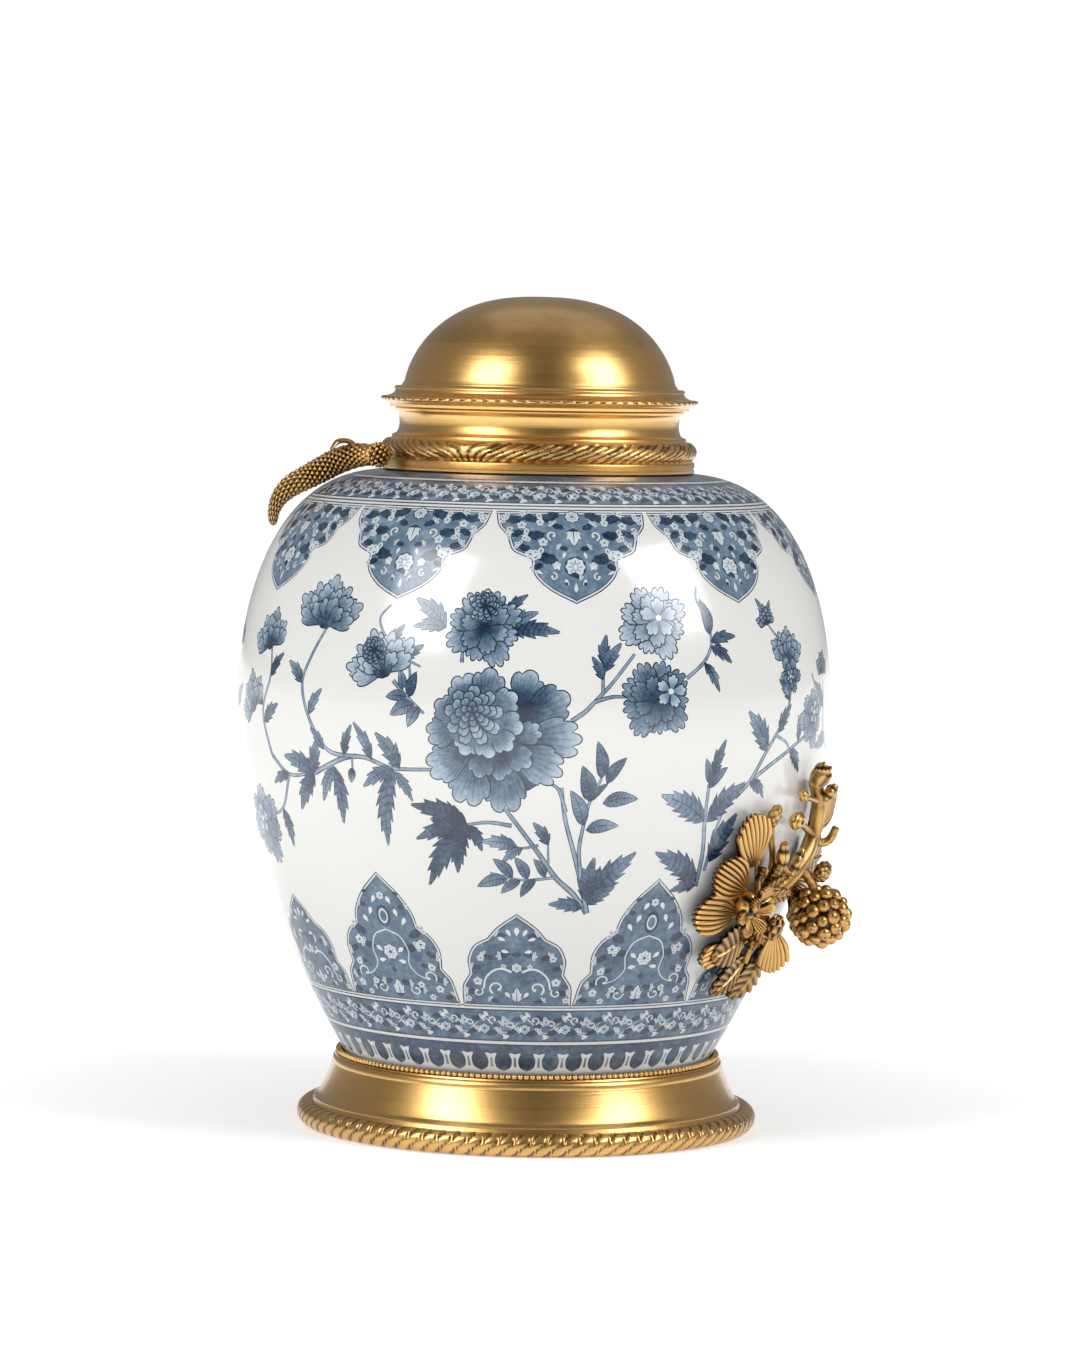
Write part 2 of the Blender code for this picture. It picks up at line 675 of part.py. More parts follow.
def from_hub(right, up):
    """The azimuth and height of a place on the skin, from its way right and up from the hub."""
    height = HUB_HEIGHT + up * SPRAY_UNIT / math.hypot(1.0, skin_slope(HUB_HEIGHT))
    return HUB_AZIMUTH + math.degrees(right * SPRAY_UNIT / jar_radius(height)), height


def fan_leaf(root, turn, length, width, lift):
    """A ribbed leaf that fans out from its root over the skin; turn is clockwise from up."""
    azimuth, height = root
    mesh = bmesh.new()
    heading = math.radians(turn)
    columns = 2 * LEAF_RIBS
    top = []
    under = []
    for row in range(LEAF_ROWS + 1):
        share = row / LEAF_ROWS
        opening = math.sin(math.pi / 2 * min(1.0, LEAF_SPREAD_RATE * share))
        spread = LEAF_ROOT_SPREAD + (1.0 - LEAF_ROOT_SPREAD) * opening
        camber = LEAF_CAMBER * math.sin(math.pi * share * LEAF_CAMBER_END)
        rib = LEAF_RIB_HEIGHT * (LEAF_ROOT_RIB + (1.0 - LEAF_ROOT_RIB) * share)
        top_row = []
        under_row = []
        for column in range(columns + 1):
            side = 2.0 * column / columns - 1.0
            crest = column % 2
            across = width / 2 * side * spread
            reach = length * share * (1.0 - LEAF_SIDE_DROP * side * side + LEAF_RIB_REACH * crest)
            right = across * math.cos(heading) + reach * math.sin(heading)
            up = reach * math.cos(heading) - across * math.sin(heading)
            rise = lift + camber + rib * crest
            under_row.append(mesh.verts.new(skin_point(azimuth, height, right, up, rise)))
            rise += LEAF_THICKNESS
            top_row.append(mesh.verts.new(skin_point(azimuth, height, right, up, rise)))
        top.append(top_row)
        under.append(under_row)
    for row in range(LEAF_ROWS):
        for column in range(columns):
            for sheet in (top, under):
                mesh.faces.new((
                    sheet[row][column], sheet[row][column + 1],
                    sheet[row + 1][column + 1], sheet[row + 1][column],
                ))
        for edge in (0, columns):
            mesh.faces.new((top[row][edge], top[row + 1][edge], under[row + 1][edge], under[row][edge]))
    for row in (0, LEAF_ROWS):
        for column in range(columns):
            mesh.faces.new((
                top[row][column], top[row][column + 1], under[row][column + 1], under[row][column]
            ))
    return mesh


def twig(stops, thick, thin):
    """A round stem through its stops, tapering from thick to thin."""
    points = []
    for right, up, lift in stops:
        azimuth, height = from_hub(right, up)
        points.append(skin_point(azimuth, height, lift=lift * SPRAY_UNIT))
    radii = []
    for index in range(len(points)):
        radii.append(SPRAY_UNIT * (thick + (thin - thick) * index / (len(points) - 1)))
    return tube(points, radii, TWIG_SIDES)


# Places on the spray are right and up along the skin from the hub, and lift off the skin, in its units
HUB = (0.0, 0.0, 5.8)
STEM_TOP = (27.2, 58.0, 6.0)
STEM_FORK = (36.8, 47.8, 6.0)
STEM_ELBOW = (37.1, 32.2, 6.2)
STEM_KNOT = (26.4, 17.8, 6.6)
BERRY_FORK = (31.8, 13.0, 11.5)
LOWER_FORK = (5.0, -13.9, 5.2)
BERRY_BALL = (34.8, -1.8, 20.0)

# right and up of each fan leaf's root, its turn, length, width and lift
FAN_LEAVES = (
    (-7.8, 21.6, -24.0, 24.0, 16.5, 3.0),
    (-11.9, 10.2, -62.0, 23.0, 18.5, 3.4),
    (-13.6, -3.0, -84.0, 24.0, 17.5, 3.0),
    (-3.0, -13.2, -112.0, 20.0, 16.0, 4.0),
    (-10.9, -20.2, -118.0, 12.5, 9.0, 2.0),
    (4.8, -26.9, -128.0, 20.0, 12.5, 2.6),
    (21.0, -23.5, 200.0, 23.0, 13.0, 3.0),
    (21.0, -12.5, 160.0, 21.0, 17.0, 5.0),
    (36.3, 34.4, 48.0, 22.0, 16.0, 4.0),
    (29.8, 19.7, 88.0, 25.0, 18.0, 3.6),
    (28.0, 9.2, 112.0, 26.0, 18.0, 3.6),
)

# right, up and lift of each bud and pod, its turn, tip, half width and half length
BUDS = (
    (26.5, 61.7, 8.5, 12.0, 20.0, 5.5, 7.0),
    (32.5, 53.7, 12.2, 20.0, 20.0, 3.0, 5.0),
    (14.2, 52.6, 7.5, 0.0, 0.0, 2.8, 2.8),
    (11.0, 41.3, 8.0, 60.0, 0.0, 3.8, 4.8),
    (-3.9, 43.6, 5.0, 0.0, 15.0, 3.6, 6.4),
    (2.0, 25.8, 10.0, -12.0, 0.0, 3.3, 7.8),
    (16.6, 21.8, 9.8, 22.0, 0.0, 3.1, 7.6),
    (36.8, 17.0, 15.0, 62.0, 0.0, 4.6, 6.6),
    (8.0, -7.4, 12.5, 0.0, 0.0, 4.6, 6.8),
    (-13.1, 3.6, 9.0, 0.0, 0.0, 6.2, 6.6),
    (1.1, 9.6, 7.0, 30.0, 0.0, 4.0, 6.6),
)

# stops of each stem and its radius at either end
TWIGS = (
    ((STEM_TOP, STEM_FORK, STEM_ELBOW, STEM_KNOT, HUB), 2.6, 3.2),
    ((STEM_FORK, (32.5, 53.7, 12.2)), 1.8, 1.5),
    ((STEM_FORK, (14.2, 52.6, 7.5)), 1.8, 1.4),
    ((STEM_ELBOW, (11.0, 41.3, 8.0)), 2.0, 1.6),
    ((STEM_ELBOW, (1.1, 31.8, 4.4), (-3.9, 42.4, 4.8)), 1.8, 1.4),
    ((STEM_KNOT, (11.0, 17.4, 9.0), (2.7, 22.8, 9.8)), 1.9, 1.6),
    ((STEM_KNOT, (18.6, 15.7, 8.4), (16.6, 20.7, 9.6)), 1.9, 1.6),
    ((STEM_ELBOW, (40.6, 28.8, 9.5), (42.8, 31.2, 13.0), (43.5, 37.2, 14.5)), 2.4, 2.0),
    ((STEM_KNOT, BERRY_FORK, (34.4, 5.0, 17.5)), 2.6, 2.4),
    ((BERRY_FORK, (35.2, 16.3, 14.2)), 1.8, 1.8),
    ((HUB, (12.3, -9.0, 7.0), (21.2, -14.2, 7.0)), 2.6, 2.2),
    ((HUB, LOWER_FORK, (6.7, -27.7, 4.6)), 2.4, 1.8),
    ((LOWER_FORK, (20.8, -25.5, 4.4)), 1.8, 1.6),
    ((LOWER_FORK, (-13.8, -21.9, 3.4)), 1.8, 1.4),
    ((HUB, (-8.5, 23.4, 4.2)), 2.2, 1.6),
    ((HUB, (-15.1, 10.4, 4.4)), 2.2, 1.6),
    ((HUB, (-16.7, -3.2, 4.2)), 2.2, 1.6),
)


def build_vine_mount(material):
    """The cast spray: stems, fan leaves, buds and the head of berries, all one casting."""
    hub_size = (HUB_RADIUS, HUB_RADIUS, HUB_DEPTH)
    hub_frame = skin_frame(HUB_AZIMUTH, HUB_HEIGHT, HUB[2] * SPRAY_UNIT)
    forms = [ball(hub_frame, hub_size, BALL_SIDES, BALL_RINGS)]
    for stops, thick, thin in TWIGS:
        forms.append(twig(stops, thick, thin))
    for right, up, turn, *sizes in FAN_LEAVES:
        length, width, lift = [SPRAY_UNIT * size for size in sizes]
        forms.append(fan_leaf(from_hub(right, up), turn, length, width, lift - SKIN_CLEARANCE))
    for right, up, lift, turn, tip, half_width, half_length in BUDS:
        frame = skin_frame(*from_hub(right, up), lift * SPRAY_UNIT, turn, tip)
        size = [SPRAY_UNIT * half for half in (half_width, half_length, half_width * BUD_DEPTH_SHARE)]
        forms.append(ball(frame, size, BUD_SIDES, BUD_RINGS))
    right, up, lift = BERRY_BALL
    frame = skin_frame(*from_hub(right, up), lift * SPRAY_UNIT)
    outward = frame.to_3x3() @ UP
    forms.append(berry_ball(frame.to_translation(), BERRY_BALL_RADIUS, BERRY_HEIGHT, outward))
    return fuse("fruiting_vine_mount", forms, material)


def build_urn():
    """Every piece of the urn."""
    clear_scene()
    porcelain = finish("porcelain", PORCELAIN_COLOUR, PORCELAIN_ROUGHNESS, 0.0)
    gilt = finish("gilt_bronze", GILT_COLOUR, GILT_ROUGHNESS, 1.0)
    antique_gilt = finish("antique_gilt", ANTIQUE_GILT_COLOUR, ANTIQUE_GILT_ROUGHNESS, 1.0)
    build_jar(porcelain)
    build_socle(gilt)
    build_collar(gilt)
    build_lid(gilt)
    build_garland(antique_gilt)
    build_vine_mount(antique_gilt)


build_urn()
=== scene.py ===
"""Looks of the mantel urn: a painted porcelain jar in gilt bronze mounts.

Metres, +Z up, the front faces -Y. Azimuths are in degrees from the front, growing towards +X.
"""
import math

import bpy
import numpy as np
from mathutils import Matrix, Vector
from mathutils.geometry import delaunay_2d_cdt


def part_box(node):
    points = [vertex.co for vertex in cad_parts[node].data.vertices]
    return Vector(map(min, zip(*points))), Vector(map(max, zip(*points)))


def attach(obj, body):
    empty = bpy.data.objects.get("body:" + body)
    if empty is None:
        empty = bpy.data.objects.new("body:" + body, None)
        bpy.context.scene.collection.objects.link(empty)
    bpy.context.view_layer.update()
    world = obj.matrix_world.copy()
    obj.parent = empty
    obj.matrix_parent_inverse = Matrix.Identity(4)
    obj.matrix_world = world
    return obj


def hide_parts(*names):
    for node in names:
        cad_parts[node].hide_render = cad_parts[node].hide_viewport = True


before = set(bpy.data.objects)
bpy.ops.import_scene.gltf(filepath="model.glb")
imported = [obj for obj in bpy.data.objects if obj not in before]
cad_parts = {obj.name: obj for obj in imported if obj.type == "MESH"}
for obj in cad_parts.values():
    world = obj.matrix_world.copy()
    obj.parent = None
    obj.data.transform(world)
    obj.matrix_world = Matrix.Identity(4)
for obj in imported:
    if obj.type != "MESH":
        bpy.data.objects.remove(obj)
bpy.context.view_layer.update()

MM = 0.001

# Porcelain jar, from the frame where it shows them
JAR_LOW, JAR_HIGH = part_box("porcelain_jar")
BELLY_RADIUS = JAR_HIGH.x
FOOT_HEIGHT = JAR_LOW.z
NECK_TOP = JAR_HIGH.z
BELLY_HEIGHT = 0.2020
SHOULDER_HEIGHT = 0.3043
SHOULDER_FLATNESS = 1.9
SHOULDER_ROUNDNESS = 0.356
TAPER_POWER = 1.9
NECK_RADIUS = 0.0600
FOOT_RADIUS = 0.0665
JAR_WALL = 0.0050
FOOT_RING_WIDTH = 0.0060
FOOT_RECESS = 0.0040
JAR_FLOOR = 0.0060
JAR_BEVEL = 0.0010
BORE_FOOT_HEIGHT = 0.3010
INSIDE_FOOT_HEIGHT = 0.0290
INSIDE_HEEL = (0.0655, 0.0160)
INSIDE_FLOOR_RADIUS = 0.0620

# The jar's skin, as samples of its profile and unrolled
TAPER_SAMPLES = 260
SHOULDER_SAMPLES = 420
SLOPE_STEP = 0.0004
MEAN_RADIUS = 0.12
SKIN_HALF = math.pi * MEAN_RADIUS
GRID_STEP = 0.0034
EDGE_STEP = 0.0028
OUTLINE_SLACK = 0.00010


def polar(azimuth, radius, height):
    """A point from its azimuth, radius and height; arrays work too."""
    angle = np.radians(azimuth)
    return np.stack(np.broadcast_arrays(radius * np.sin(angle), -radius * np.cos(angle), height), axis=-1)


def jar_profile():
    """Radius, height and length along the skin, from the foot to the neck's root."""
    drop = np.linspace(1.0, 0.0, TAPER_SAMPLES)
    turn = np.linspace(0.0, math.pi / 2, SHOULDER_SAMPLES)[1:]
    swell = np.abs(np.cos(turn)) ** (2.0 * SHOULDER_ROUNDNESS)
    swell[-1] = 0.0
    radius = np.concatenate((
        BELLY_RADIUS - (BELLY_RADIUS - FOOT_RADIUS) * drop ** TAPER_POWER,
        NECK_RADIUS + (BELLY_RADIUS - NECK_RADIUS) * swell,
    ))
    height = np.concatenate((
        BELLY_HEIGHT - (BELLY_HEIGHT - FOOT_HEIGHT) * drop,
        BELLY_HEIGHT + (SHOULDER_HEIGHT - BELLY_HEIGHT) * np.sin(turn) ** (2.0 / SHOULDER_FLATNESS),
    ))
    length = np.concatenate(((0.0,), np.cumsum(np.hypot(np.diff(radius), np.diff(height)))))
    return radius, height, length


SKIN_RADIUS, SKIN_HEIGHT, SKIN_LENGTH = jar_profile()


def length_at(height):
    """The length along the skin at a height."""
    return np.interp(height, SKIN_HEIGHT, SKIN_LENGTH)


def radius_at(length):
    """The jar's radius at a length along the skin."""
    return np.interp(length, SKIN_LENGTH, SKIN_RADIUS)


def height_at(length):
    """The jar's height at a length along the skin."""
    return np.interp(length, SKIN_LENGTH, SKIN_HEIGHT)


def skin_points(plane):
    """Places on the jar and their outward normals, from unrolled (across, length) points."""
    across, length = plane[:, 0], plane[:, 1]
    azimuth = np.degrees(across / MEAN_RADIUS)
    run = radius_at(length + SLOPE_STEP) - radius_at(length - SLOPE_STEP)
    rise = height_at(length + SLOPE_STEP) - height_at(length - SLOPE_STEP)
    size = np.hypot(run, rise)
    points = polar(azimuth, radius_at(length), height_at(length))
    normals = polar(azimuth, rise / size, -run / size)
    return points, normals


# Meshes from arrays

class Form:
    """Points, faces and a painted shade value at each point, from 0 on a crest to 1 where shade is painted
    darkest: in hollows, on undersides and between parts.
    """

    def __init__(self, points, faces, painted_shade=None):
        self.points = np.asarray(points, float).reshape(-1, 3)
        self.faces = faces
        self.painted_shade = np.zeros(len(self.points)) if painted_shade is None else np.asarray(painted_shade, float).ravel()


def grid_faces(rows, columns, wrap_rows=False, wrap_columns=True):
    """Quads over a grid of points in row order."""
    row = np.arange(rows if wrap_rows else rows - 1)[:, None]
    column = np.arange(columns if wrap_columns else columns - 1)[None, :]
    after_row = (row + 1) % rows
    after_column = (column + 1) % columns
    corners = (
        row * columns + column, row * columns + after_column,
        after_row * columns + after_column, after_row * columns + column,
    )
    return np.stack(corners, axis=-1).reshape(-1, 4).tolist()


def make_piece(name, forms, material, nodes, sharp_angle=38.0):
    """One shaded object from its forms, in place of the CAD nodes."""
    points = np.concatenate([form.points for form in forms])
    painted_shade = np.concatenate([form.painted_shade for form in forms])
    faces = []
    start = 0
    for form in forms:
        faces += [[corner + start for corner in face] for face in form.faces]
        start += len(form.points)
    mesh = bpy.data.meshes.new(name)
    mesh.from_pydata(points.tolist(), [], faces)
    mesh.validate()
    mesh.attributes.new("painted_shade", "FLOAT", "POINT").data.foreach_set("value", painted_shade.astype(np.float32))
    mesh.shade_smooth()
    mesh.set_sharp_from_angle(angle=math.radians(sharp_angle))
    place_piece(name, mesh, material, nodes)


def place_piece(name, mesh, material, nodes):
    """An object for the mesh, riding on the body in place of the CAD nodes."""
    mesh.materials.append(material)
    piece = bpy.data.objects.new(name, mesh)
    bpy.context.scene.collection.objects.link(piece)
    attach(piece, "root")
    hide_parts(*nodes)


def turned_form(profile, sides):
    """A turned body from (radius, height) points that run round its section, outer side first."""
    profile = np.asarray(profile, float)
    azimuth = np.arange(sides) * 360.0 / sides
    points = polar(azimuth[None, :], profile[:, 0][:, None], profile[:, 1][:, None])
    rows = len(profile)
    faces = grid_faces(rows, sides, wrap_rows=True)
    poles = [row for row in range(rows) if profile[row, 0] < 1e-6]
    flat = points.reshape(-1, 3)
    if not poles:
        return Form(flat, [face[::-1] for face in faces])
    keep = []
    for face in faces:
        merged = []
        for corner in face:
            row = corner // sides
            corner = row * sides if row in poles else corner
            if corner not in merged:
                merged.append(corner)
        if len(merged) > 2:
            keep.append(merged[::-1])
    used = sorted({corner for face in keep for corner in face})
    place = {corner: index for index, corner in enumerate(used)}
    return Form(flat[used], [[place[corner] for corner in face] for face in keep])


def curve_points(start, end, centre, count):
    """Points on a quarter-like arc from start to end that bulges away from, or towards, its centre."""
    start, end, centre = np.array(start), np.array(end), np.array(centre)
    turn = np.linspace(0.0, math.pi / 2, count)[:, None]
    return (centre + (start - centre) * np.cos(turn) + (end - centre) * np.sin(turn)).tolist()


def lifted(base, *places):
    """(radius, height) points whose heights are counted from a base."""
    return [(radius, base + rise) for radius, rise in places]


def moulded_torus(centre_radius, centre_height, thickness, sides, rows, relief, shade_scale):
    """A round moulding whose surface is sunk by relief(azimuth, lift); lift is round its section."""
    azimuth = (np.arange(sides) * 360.0 / sides)[None, :]
    lift = (np.arange(rows) * 360.0 / rows)[:, None]
    sunk = relief(azimuth + 0.0 * lift, lift + 0.0 * azimuth)
    depth = thickness - sunk
    radius = centre_radius + depth * np.cos(np.radians(lift))
    height = centre_height + depth * np.sin(np.radians(lift))
    # The sunk depth becomes painted shade, darkest in the grooves.
    return Form(polar(azimuth, radius, height), grid_faces(rows, sides, wrap_rows=True), sunk / shade_scale)


# Materials

GILT_COAT = 0.7
GILT_COAT_ROUGHNESS = 0.22
GLAZE_ROUGHNESS = 0.16
GLAZE_REFRACTION = 1.62


def node_tree(name):
    """A new material, its node tree and its shader."""
    material = bpy.data.materials.new(name)
    material.use_nodes = True
    tree = material.node_tree
    return material, tree, tree.nodes["Principled BSDF"]


def add_node(tree, kind, inputs=None, **settings):
    """A shader node with its settings and its inputs, which are values or other nodes' outputs."""
    node = tree.nodes.new("ShaderNode" + kind)
    for name, value in settings.items():
        setattr(node, name, value)
    for name, value in (inputs or {}).items():
        if isinstance(value, bpy.types.NodeSocket):
            tree.links.new(value, node.inputs[name])
        else:
            node.inputs[name].default_value = value
    return node


def calculated(tree, operation, *values):
    """What a math node makes of its values."""
    return add_node(tree, "Math", dict(enumerate(values)), operation=operation).outputs["Value"]


def ranged(tree, value, start, end, low=0.0, high=1.0, interpolation="LINEAR"):
    """A value taken from the range start to end onto the range low to high."""
    return add_node(tree, "MapRange", {
        "Value": value, "From Min": start, "From Max": end, "To Min": low, "To Max": high,
    }, interpolation_type=interpolation).outputs["Result"]


def add_ramp(tree, factor, stops):
    """A colour ramp through (place, colour) stops."""
    ramp = add_node(tree, "ValToRGB", {"Fac": factor})
    elements = ramp.color_ramp.elements
    for index, (place, colour) in enumerate(stops):
        element = elements[index] if index < len(elements) else elements.new(place)
        element.position = place
        element.color = (*colour, 1.0)
    return ramp.outputs["Color"]


def linear(red, green, blue):
    """A linear colour from sRGB values of 0 to 255."""
    shares = [value / 255.0 for value in (red, green, blue)]
    return tuple(share / 12.92 if share <= 0.04045 else ((share + 0.055) / 1.055) ** 2.4 for share in shares)


def gilt_material(name, light, dark, roughness, grain):
    """Gilded bronze with a random mottle, painted darker as shade in its hollows, undersides and gaps as the
    mesh's shade values say, with fine turned lines.
    """
    material, tree, shader = node_tree(name)
    place = add_node(tree, "TexCoord").outputs["Object"]
    split = add_node(tree, "SeparateXYZ", {"Vector": place})
    radius = add_node(tree, "VectorMath", {0: place}, operation="MULTIPLY")
    radius.inputs[1].default_value = (1.0, 1.0, 0.0)
    radius = add_node(tree, "VectorMath", {0: radius.outputs["Vector"]}, operation="LENGTH")
    turned = add_node(tree, "CombineXYZ", {"X": radius.outputs["Value"], "Y": split.outputs["Z"]})
    lines = add_node(tree, "TexNoise", {"Vector": turned.outputs["Vector"], "Scale": 900.0, "Detail": 4.0})
    cloud = add_node(tree, "TexNoise", {"Vector": place, "Scale": 38.0, "Detail": 5.0, "Roughness": 0.6})
    speck = add_node(tree, "TexNoise", {"Vector": place, "Scale": 1400.0, "Detail": 3.0})
    # Painted shade: the mesh's shade values, on top of the random mottle, turn the gilt towards its dark
    # colour and make it duller.
    painted_shade = add_node(tree, "Attribute", attribute_name="painted_shade", attribute_type="GEOMETRY").outputs["Fac"]
    wear_and_shade = calculated(tree, "MULTIPLY", cloud.outputs["Fac"], 0.55)
    wear_and_shade = calculated(tree, "ADD", wear_and_shade, painted_shade)
    colour = add_ramp(tree, ranged(tree, wear_and_shade, 0.22, 1.05), (
        (0.0, light), (0.45, tuple(0.72 * a + 0.28 * b for a, b in zip(light, dark))), (1.0, dark),
    ))
    tree.links.new(colour, shader.inputs["Base Color"])
    shader.inputs["Metallic"].default_value = 1.0
    shader.inputs["Coat Weight"].default_value = GILT_COAT
    shader.inputs["Coat Roughness"].default_value = GILT_COAT_ROUGHNESS
    dull = ranged(tree, wear_and_shade, 0.1, 1.0, roughness, roughness + 0.22)
    brushed = calculated(tree, "MULTIPLY", lines.outputs["Fac"], 0.10)
    dull = calculated(tree, "ADD", dull, brushed)
    tree.links.new(dull, shader.inputs["Roughness"])
    grainy = add_node(tree, "Mix", {0: grain, 2: lines.outputs["Fac"], 3: speck.outputs["Fac"]})
    bump = add_node(tree, "Bump", {"Height": grainy.outputs[0], "Strength": 0.16, "Distance": 0.0006})
    tree.links.new(bump.outputs["Normal"], shader.inputs["Normal"])
    return material


def porcelain_material(name):
    """Glazed porcelain; the paint attribute holds the ink's depth, its vein place and vein strength."""
    material, tree, shader = node_tree(name)
    place = add_node(tree, "TexCoord").outputs["Object"]
    paint = add_node(tree, "Attribute", attribute_name="paint", attribute_type="GEOMETRY").outputs["Vector"]
    paint = add_node(tree, "SeparateXYZ", {"Vector": paint})
    wave = calculated(tree, "FRACT", paint.outputs["Y"])
    wave = calculated(tree, "SUBTRACT", wave, 0.5)
    wave = calculated(tree, "ABSOLUTE", wave)
    vein = ranged(tree, wave, 0.25, 0.5, interpolation="SMOOTHSTEP")
    vein = calculated(tree, "MULTIPLY", vein, paint.outputs["Z"])
    pool = add_node(tree, "TexNoise", {"Vector": place, "Scale": 420.0, "Detail": 4.0, "Roughness": 0.62})
    wash = add_node(tree, "TexNoise", {"Vector": place, "Scale": 95.0, "Detail": 2.0})
    mottle = calculated(tree, "ADD", pool.outputs["Fac"], wash.outputs["Fac"])
    mottle = ranged(tree, mottle, 0.7, 1.3, 0.72, 1.26)
    ink = calculated(tree, "ADD", paint.outputs["X"], vein)
    ink = calculated(tree, "MULTIPLY", ink, mottle)
    colour = add_ramp(tree, ink, (
        (0.0, PORCELAIN_WHITE), (0.22, linear(158, 171, 183)), (0.45, linear(97, 117, 135)),
        (0.70, linear(52, 73, 94)), (1.0, linear(22, 34, 57)),
    ))
    tree.links.new(colour, shader.inputs["Base Color"])
    shader.inputs["Roughness"].default_value = GLAZE_ROUGHNESS
    shader.inputs["IOR"].default_value = GLAZE_REFRACTION
    skin = add_node(tree, "TexNoise", {"Vector": place, "Scale": 160.0, "Detail": 2.0})
    bump = add_node(tree, "Bump", {"Height": skin.outputs["Fac"], "Strength": 0.05, "Distance": 0.0008})
    tree.links.new(bump.outputs["Normal"], shader.inputs["Normal"])
    return material


PORCELAIN_WHITE = linear(205, 205, 202)
GILT_LIGHT = linear(222, 176, 102)
# The dark colour of each gilt is painted shade, for its grooves, undersides and the gaps between parts.
GILT_PAINTED_SHADE = linear(60, 36, 8)
CAST_GILT_LIGHT = linear(210, 162, 88)
CAST_GILT_PAINTED_SHADE = linear(26, 15, 5)
GILT = gilt_material("gilt_bronze", GILT_LIGHT, GILT_PAINTED_SHADE, 0.23, 0.15)
CAST_GILT = gilt_material("antique_gilt", CAST_GILT_LIGHT, CAST_GILT_PAINTED_SHADE, 0.24, 0.80)
PORCELAIN = porcelain_material("painted_porcelain")


# Lid

LID_LOW, LID_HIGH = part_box("lid")
LID_SEAT = LID_LOW.z + 0.0060
LID_APEX = LID_HIGH.z
DOME_RADIUS = 0.0634
DOME_SPRING = LID_SEAT + 0.0054
DOME_RADIAL_POWER = 2.5
DOME_HEIGHT_POWER = 1.8
LID_WALL = 0.0025
SPIGOT_CLEARANCE = 0.0006
BEAD_RADIUS = 0.0010
BEAD_CENTRE_RADIUS = LID_HIGH.x - 0.0011
BEAD_HEIGHT = LID_SEAT + 0.0038
REEL_COUNT = 77
REEL_DEPTH = 0.00085
ROUND_SIDES = 192


def dome_section(radius, spring, apex, steps):
    """The dome's section from its apex down to its spring line."""
    turn = np.linspace(0.0, math.pi / 2, steps)
    across = radius * np.sin(turn) ** (2.0 / DOME_RADIAL_POWER)
    rise = spring + (apex - spring) * np.abs(np.cos(turn)) ** (2.0 / DOME_HEIGHT_POWER)
    return np.stack((across, rise), axis=1).tolist()


def build_lid():
    """The domed lid with its moulded rim, hollow inside, and its spigot."""
    dome = dome_section(DOME_RADIUS, DOME_SPRING, LID_APEX, 48)
    section = [corner for corner in dome if corner[1] > LID_SEAT + 0.0112]
    section += lifted(LID_SEAT, (DOME_RADIUS, 0.0108))
    section += curve_points(*lifted(LID_SEAT, (0.0636, 0.0104), (0.0648, 0.0096), (0.0648, 0.0104)), 5)
    section += curve_points(*lifted(LID_SEAT, (0.0662, 0.0095), (0.0672, 0.0086), (0.0662, 0.0086)), 5)
    section += lifted(LID_SEAT, (0.0672, 0.0082), (0.0666, 0.0080))
    section += curve_points(*lifted(LID_SEAT, (0.0668, 0.0078), (0.0722, 0.0048), (0.0722, 0.0078)), 10)
    section += lifted(LID_SEAT, (0.0727, 0.0046), (0.0727, 0.0030), (0.0718, 0.0026))
    section += curve_points(*lifted(LID_SEAT, (0.0716, 0.0024), (0.0692, 0.0011), (0.0692, 0.0024)), 5)
    spigot = NECK_RADIUS - JAR_WALL - SPIGOT_CLEARANCE
    section += lifted(
        LID_SEAT, (0.0690, 0.0), (spigot, 0.0), (spigot, -0.0055), (spigot - 0.0005, -0.0060),
        (spigot - LID_WALL, -0.0060), (spigot - LID_WALL, LID_WALL),
    )
    section += dome_section(DOME_RADIUS - LID_WALL, DOME_SPRING, LID_APEX - LID_WALL, 20)[::-1]

    def reels(azimuth, lift):
        """Long beads with a pair of narrow reels between them."""
        phase = (azimuth * REEL_COUNT / 360.0 + 0.10 * np.cos(np.radians(lift))) % 1.0
        bead = np.clip(np.abs(phase - 0.5) / 0.36, 0.0, 1.0)
        gap = np.where(bead < 1.0, 1.0 - np.sqrt(1.0 - 0.75 * bead ** 4), 0.62)
        reel = 0.35 * (np.abs(np.abs(phase - 0.5) - 0.43) < 0.035)
        return REEL_DEPTH * np.clip(gap - reel, 0.0, 1.0)

    beads = moulded_torus(BEAD_CENTRE_RADIUS, BEAD_HEIGHT, BEAD_RADIUS, REEL_COUNT * 12, 10, reels, 0.0005)
    lid = turned_form(section, ROUND_SIDES)
    # Painted shade: the inside of the lid is painted darker.
    lid.painted_shade = np.where(np.hypot(lid.points[:, 0], lid.points[:, 1]) < spigot, 0.35, 0.0)
    make_piece("domed_lid", [lid, beads], GILT, ["lid"])


# Neck collar

COLLAR_LOW, COLLAR_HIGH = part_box("neck_collar")
COLLAR_BASE = COLLAR_LOW.z
COLLAR_TOP = COLLAR_HIGH.z
WREATH_RADIUS = 0.0047
WREATH_CENTRE_RADIUS = COLLAR_HIGH.x - WREATH_RADIUS
WREATH_HEIGHT = COLLAR_BASE + 0.0094
WREATH_TIE_AZIMUTH = -27.0
WREATH_STROKES = 84
WREATH_DEPTH = 0.00125
SEAT_CLEARANCE = 0.0003


def wreath_lean(azimuth):
    """Which way the wreath's leaves lean: they part at the tie and meet opposite it."""
    return np.clip(7.0 * np.sin(np.radians(azimuth - WREATH_TIE_AZIMUTH)), -1.0, 1.0)


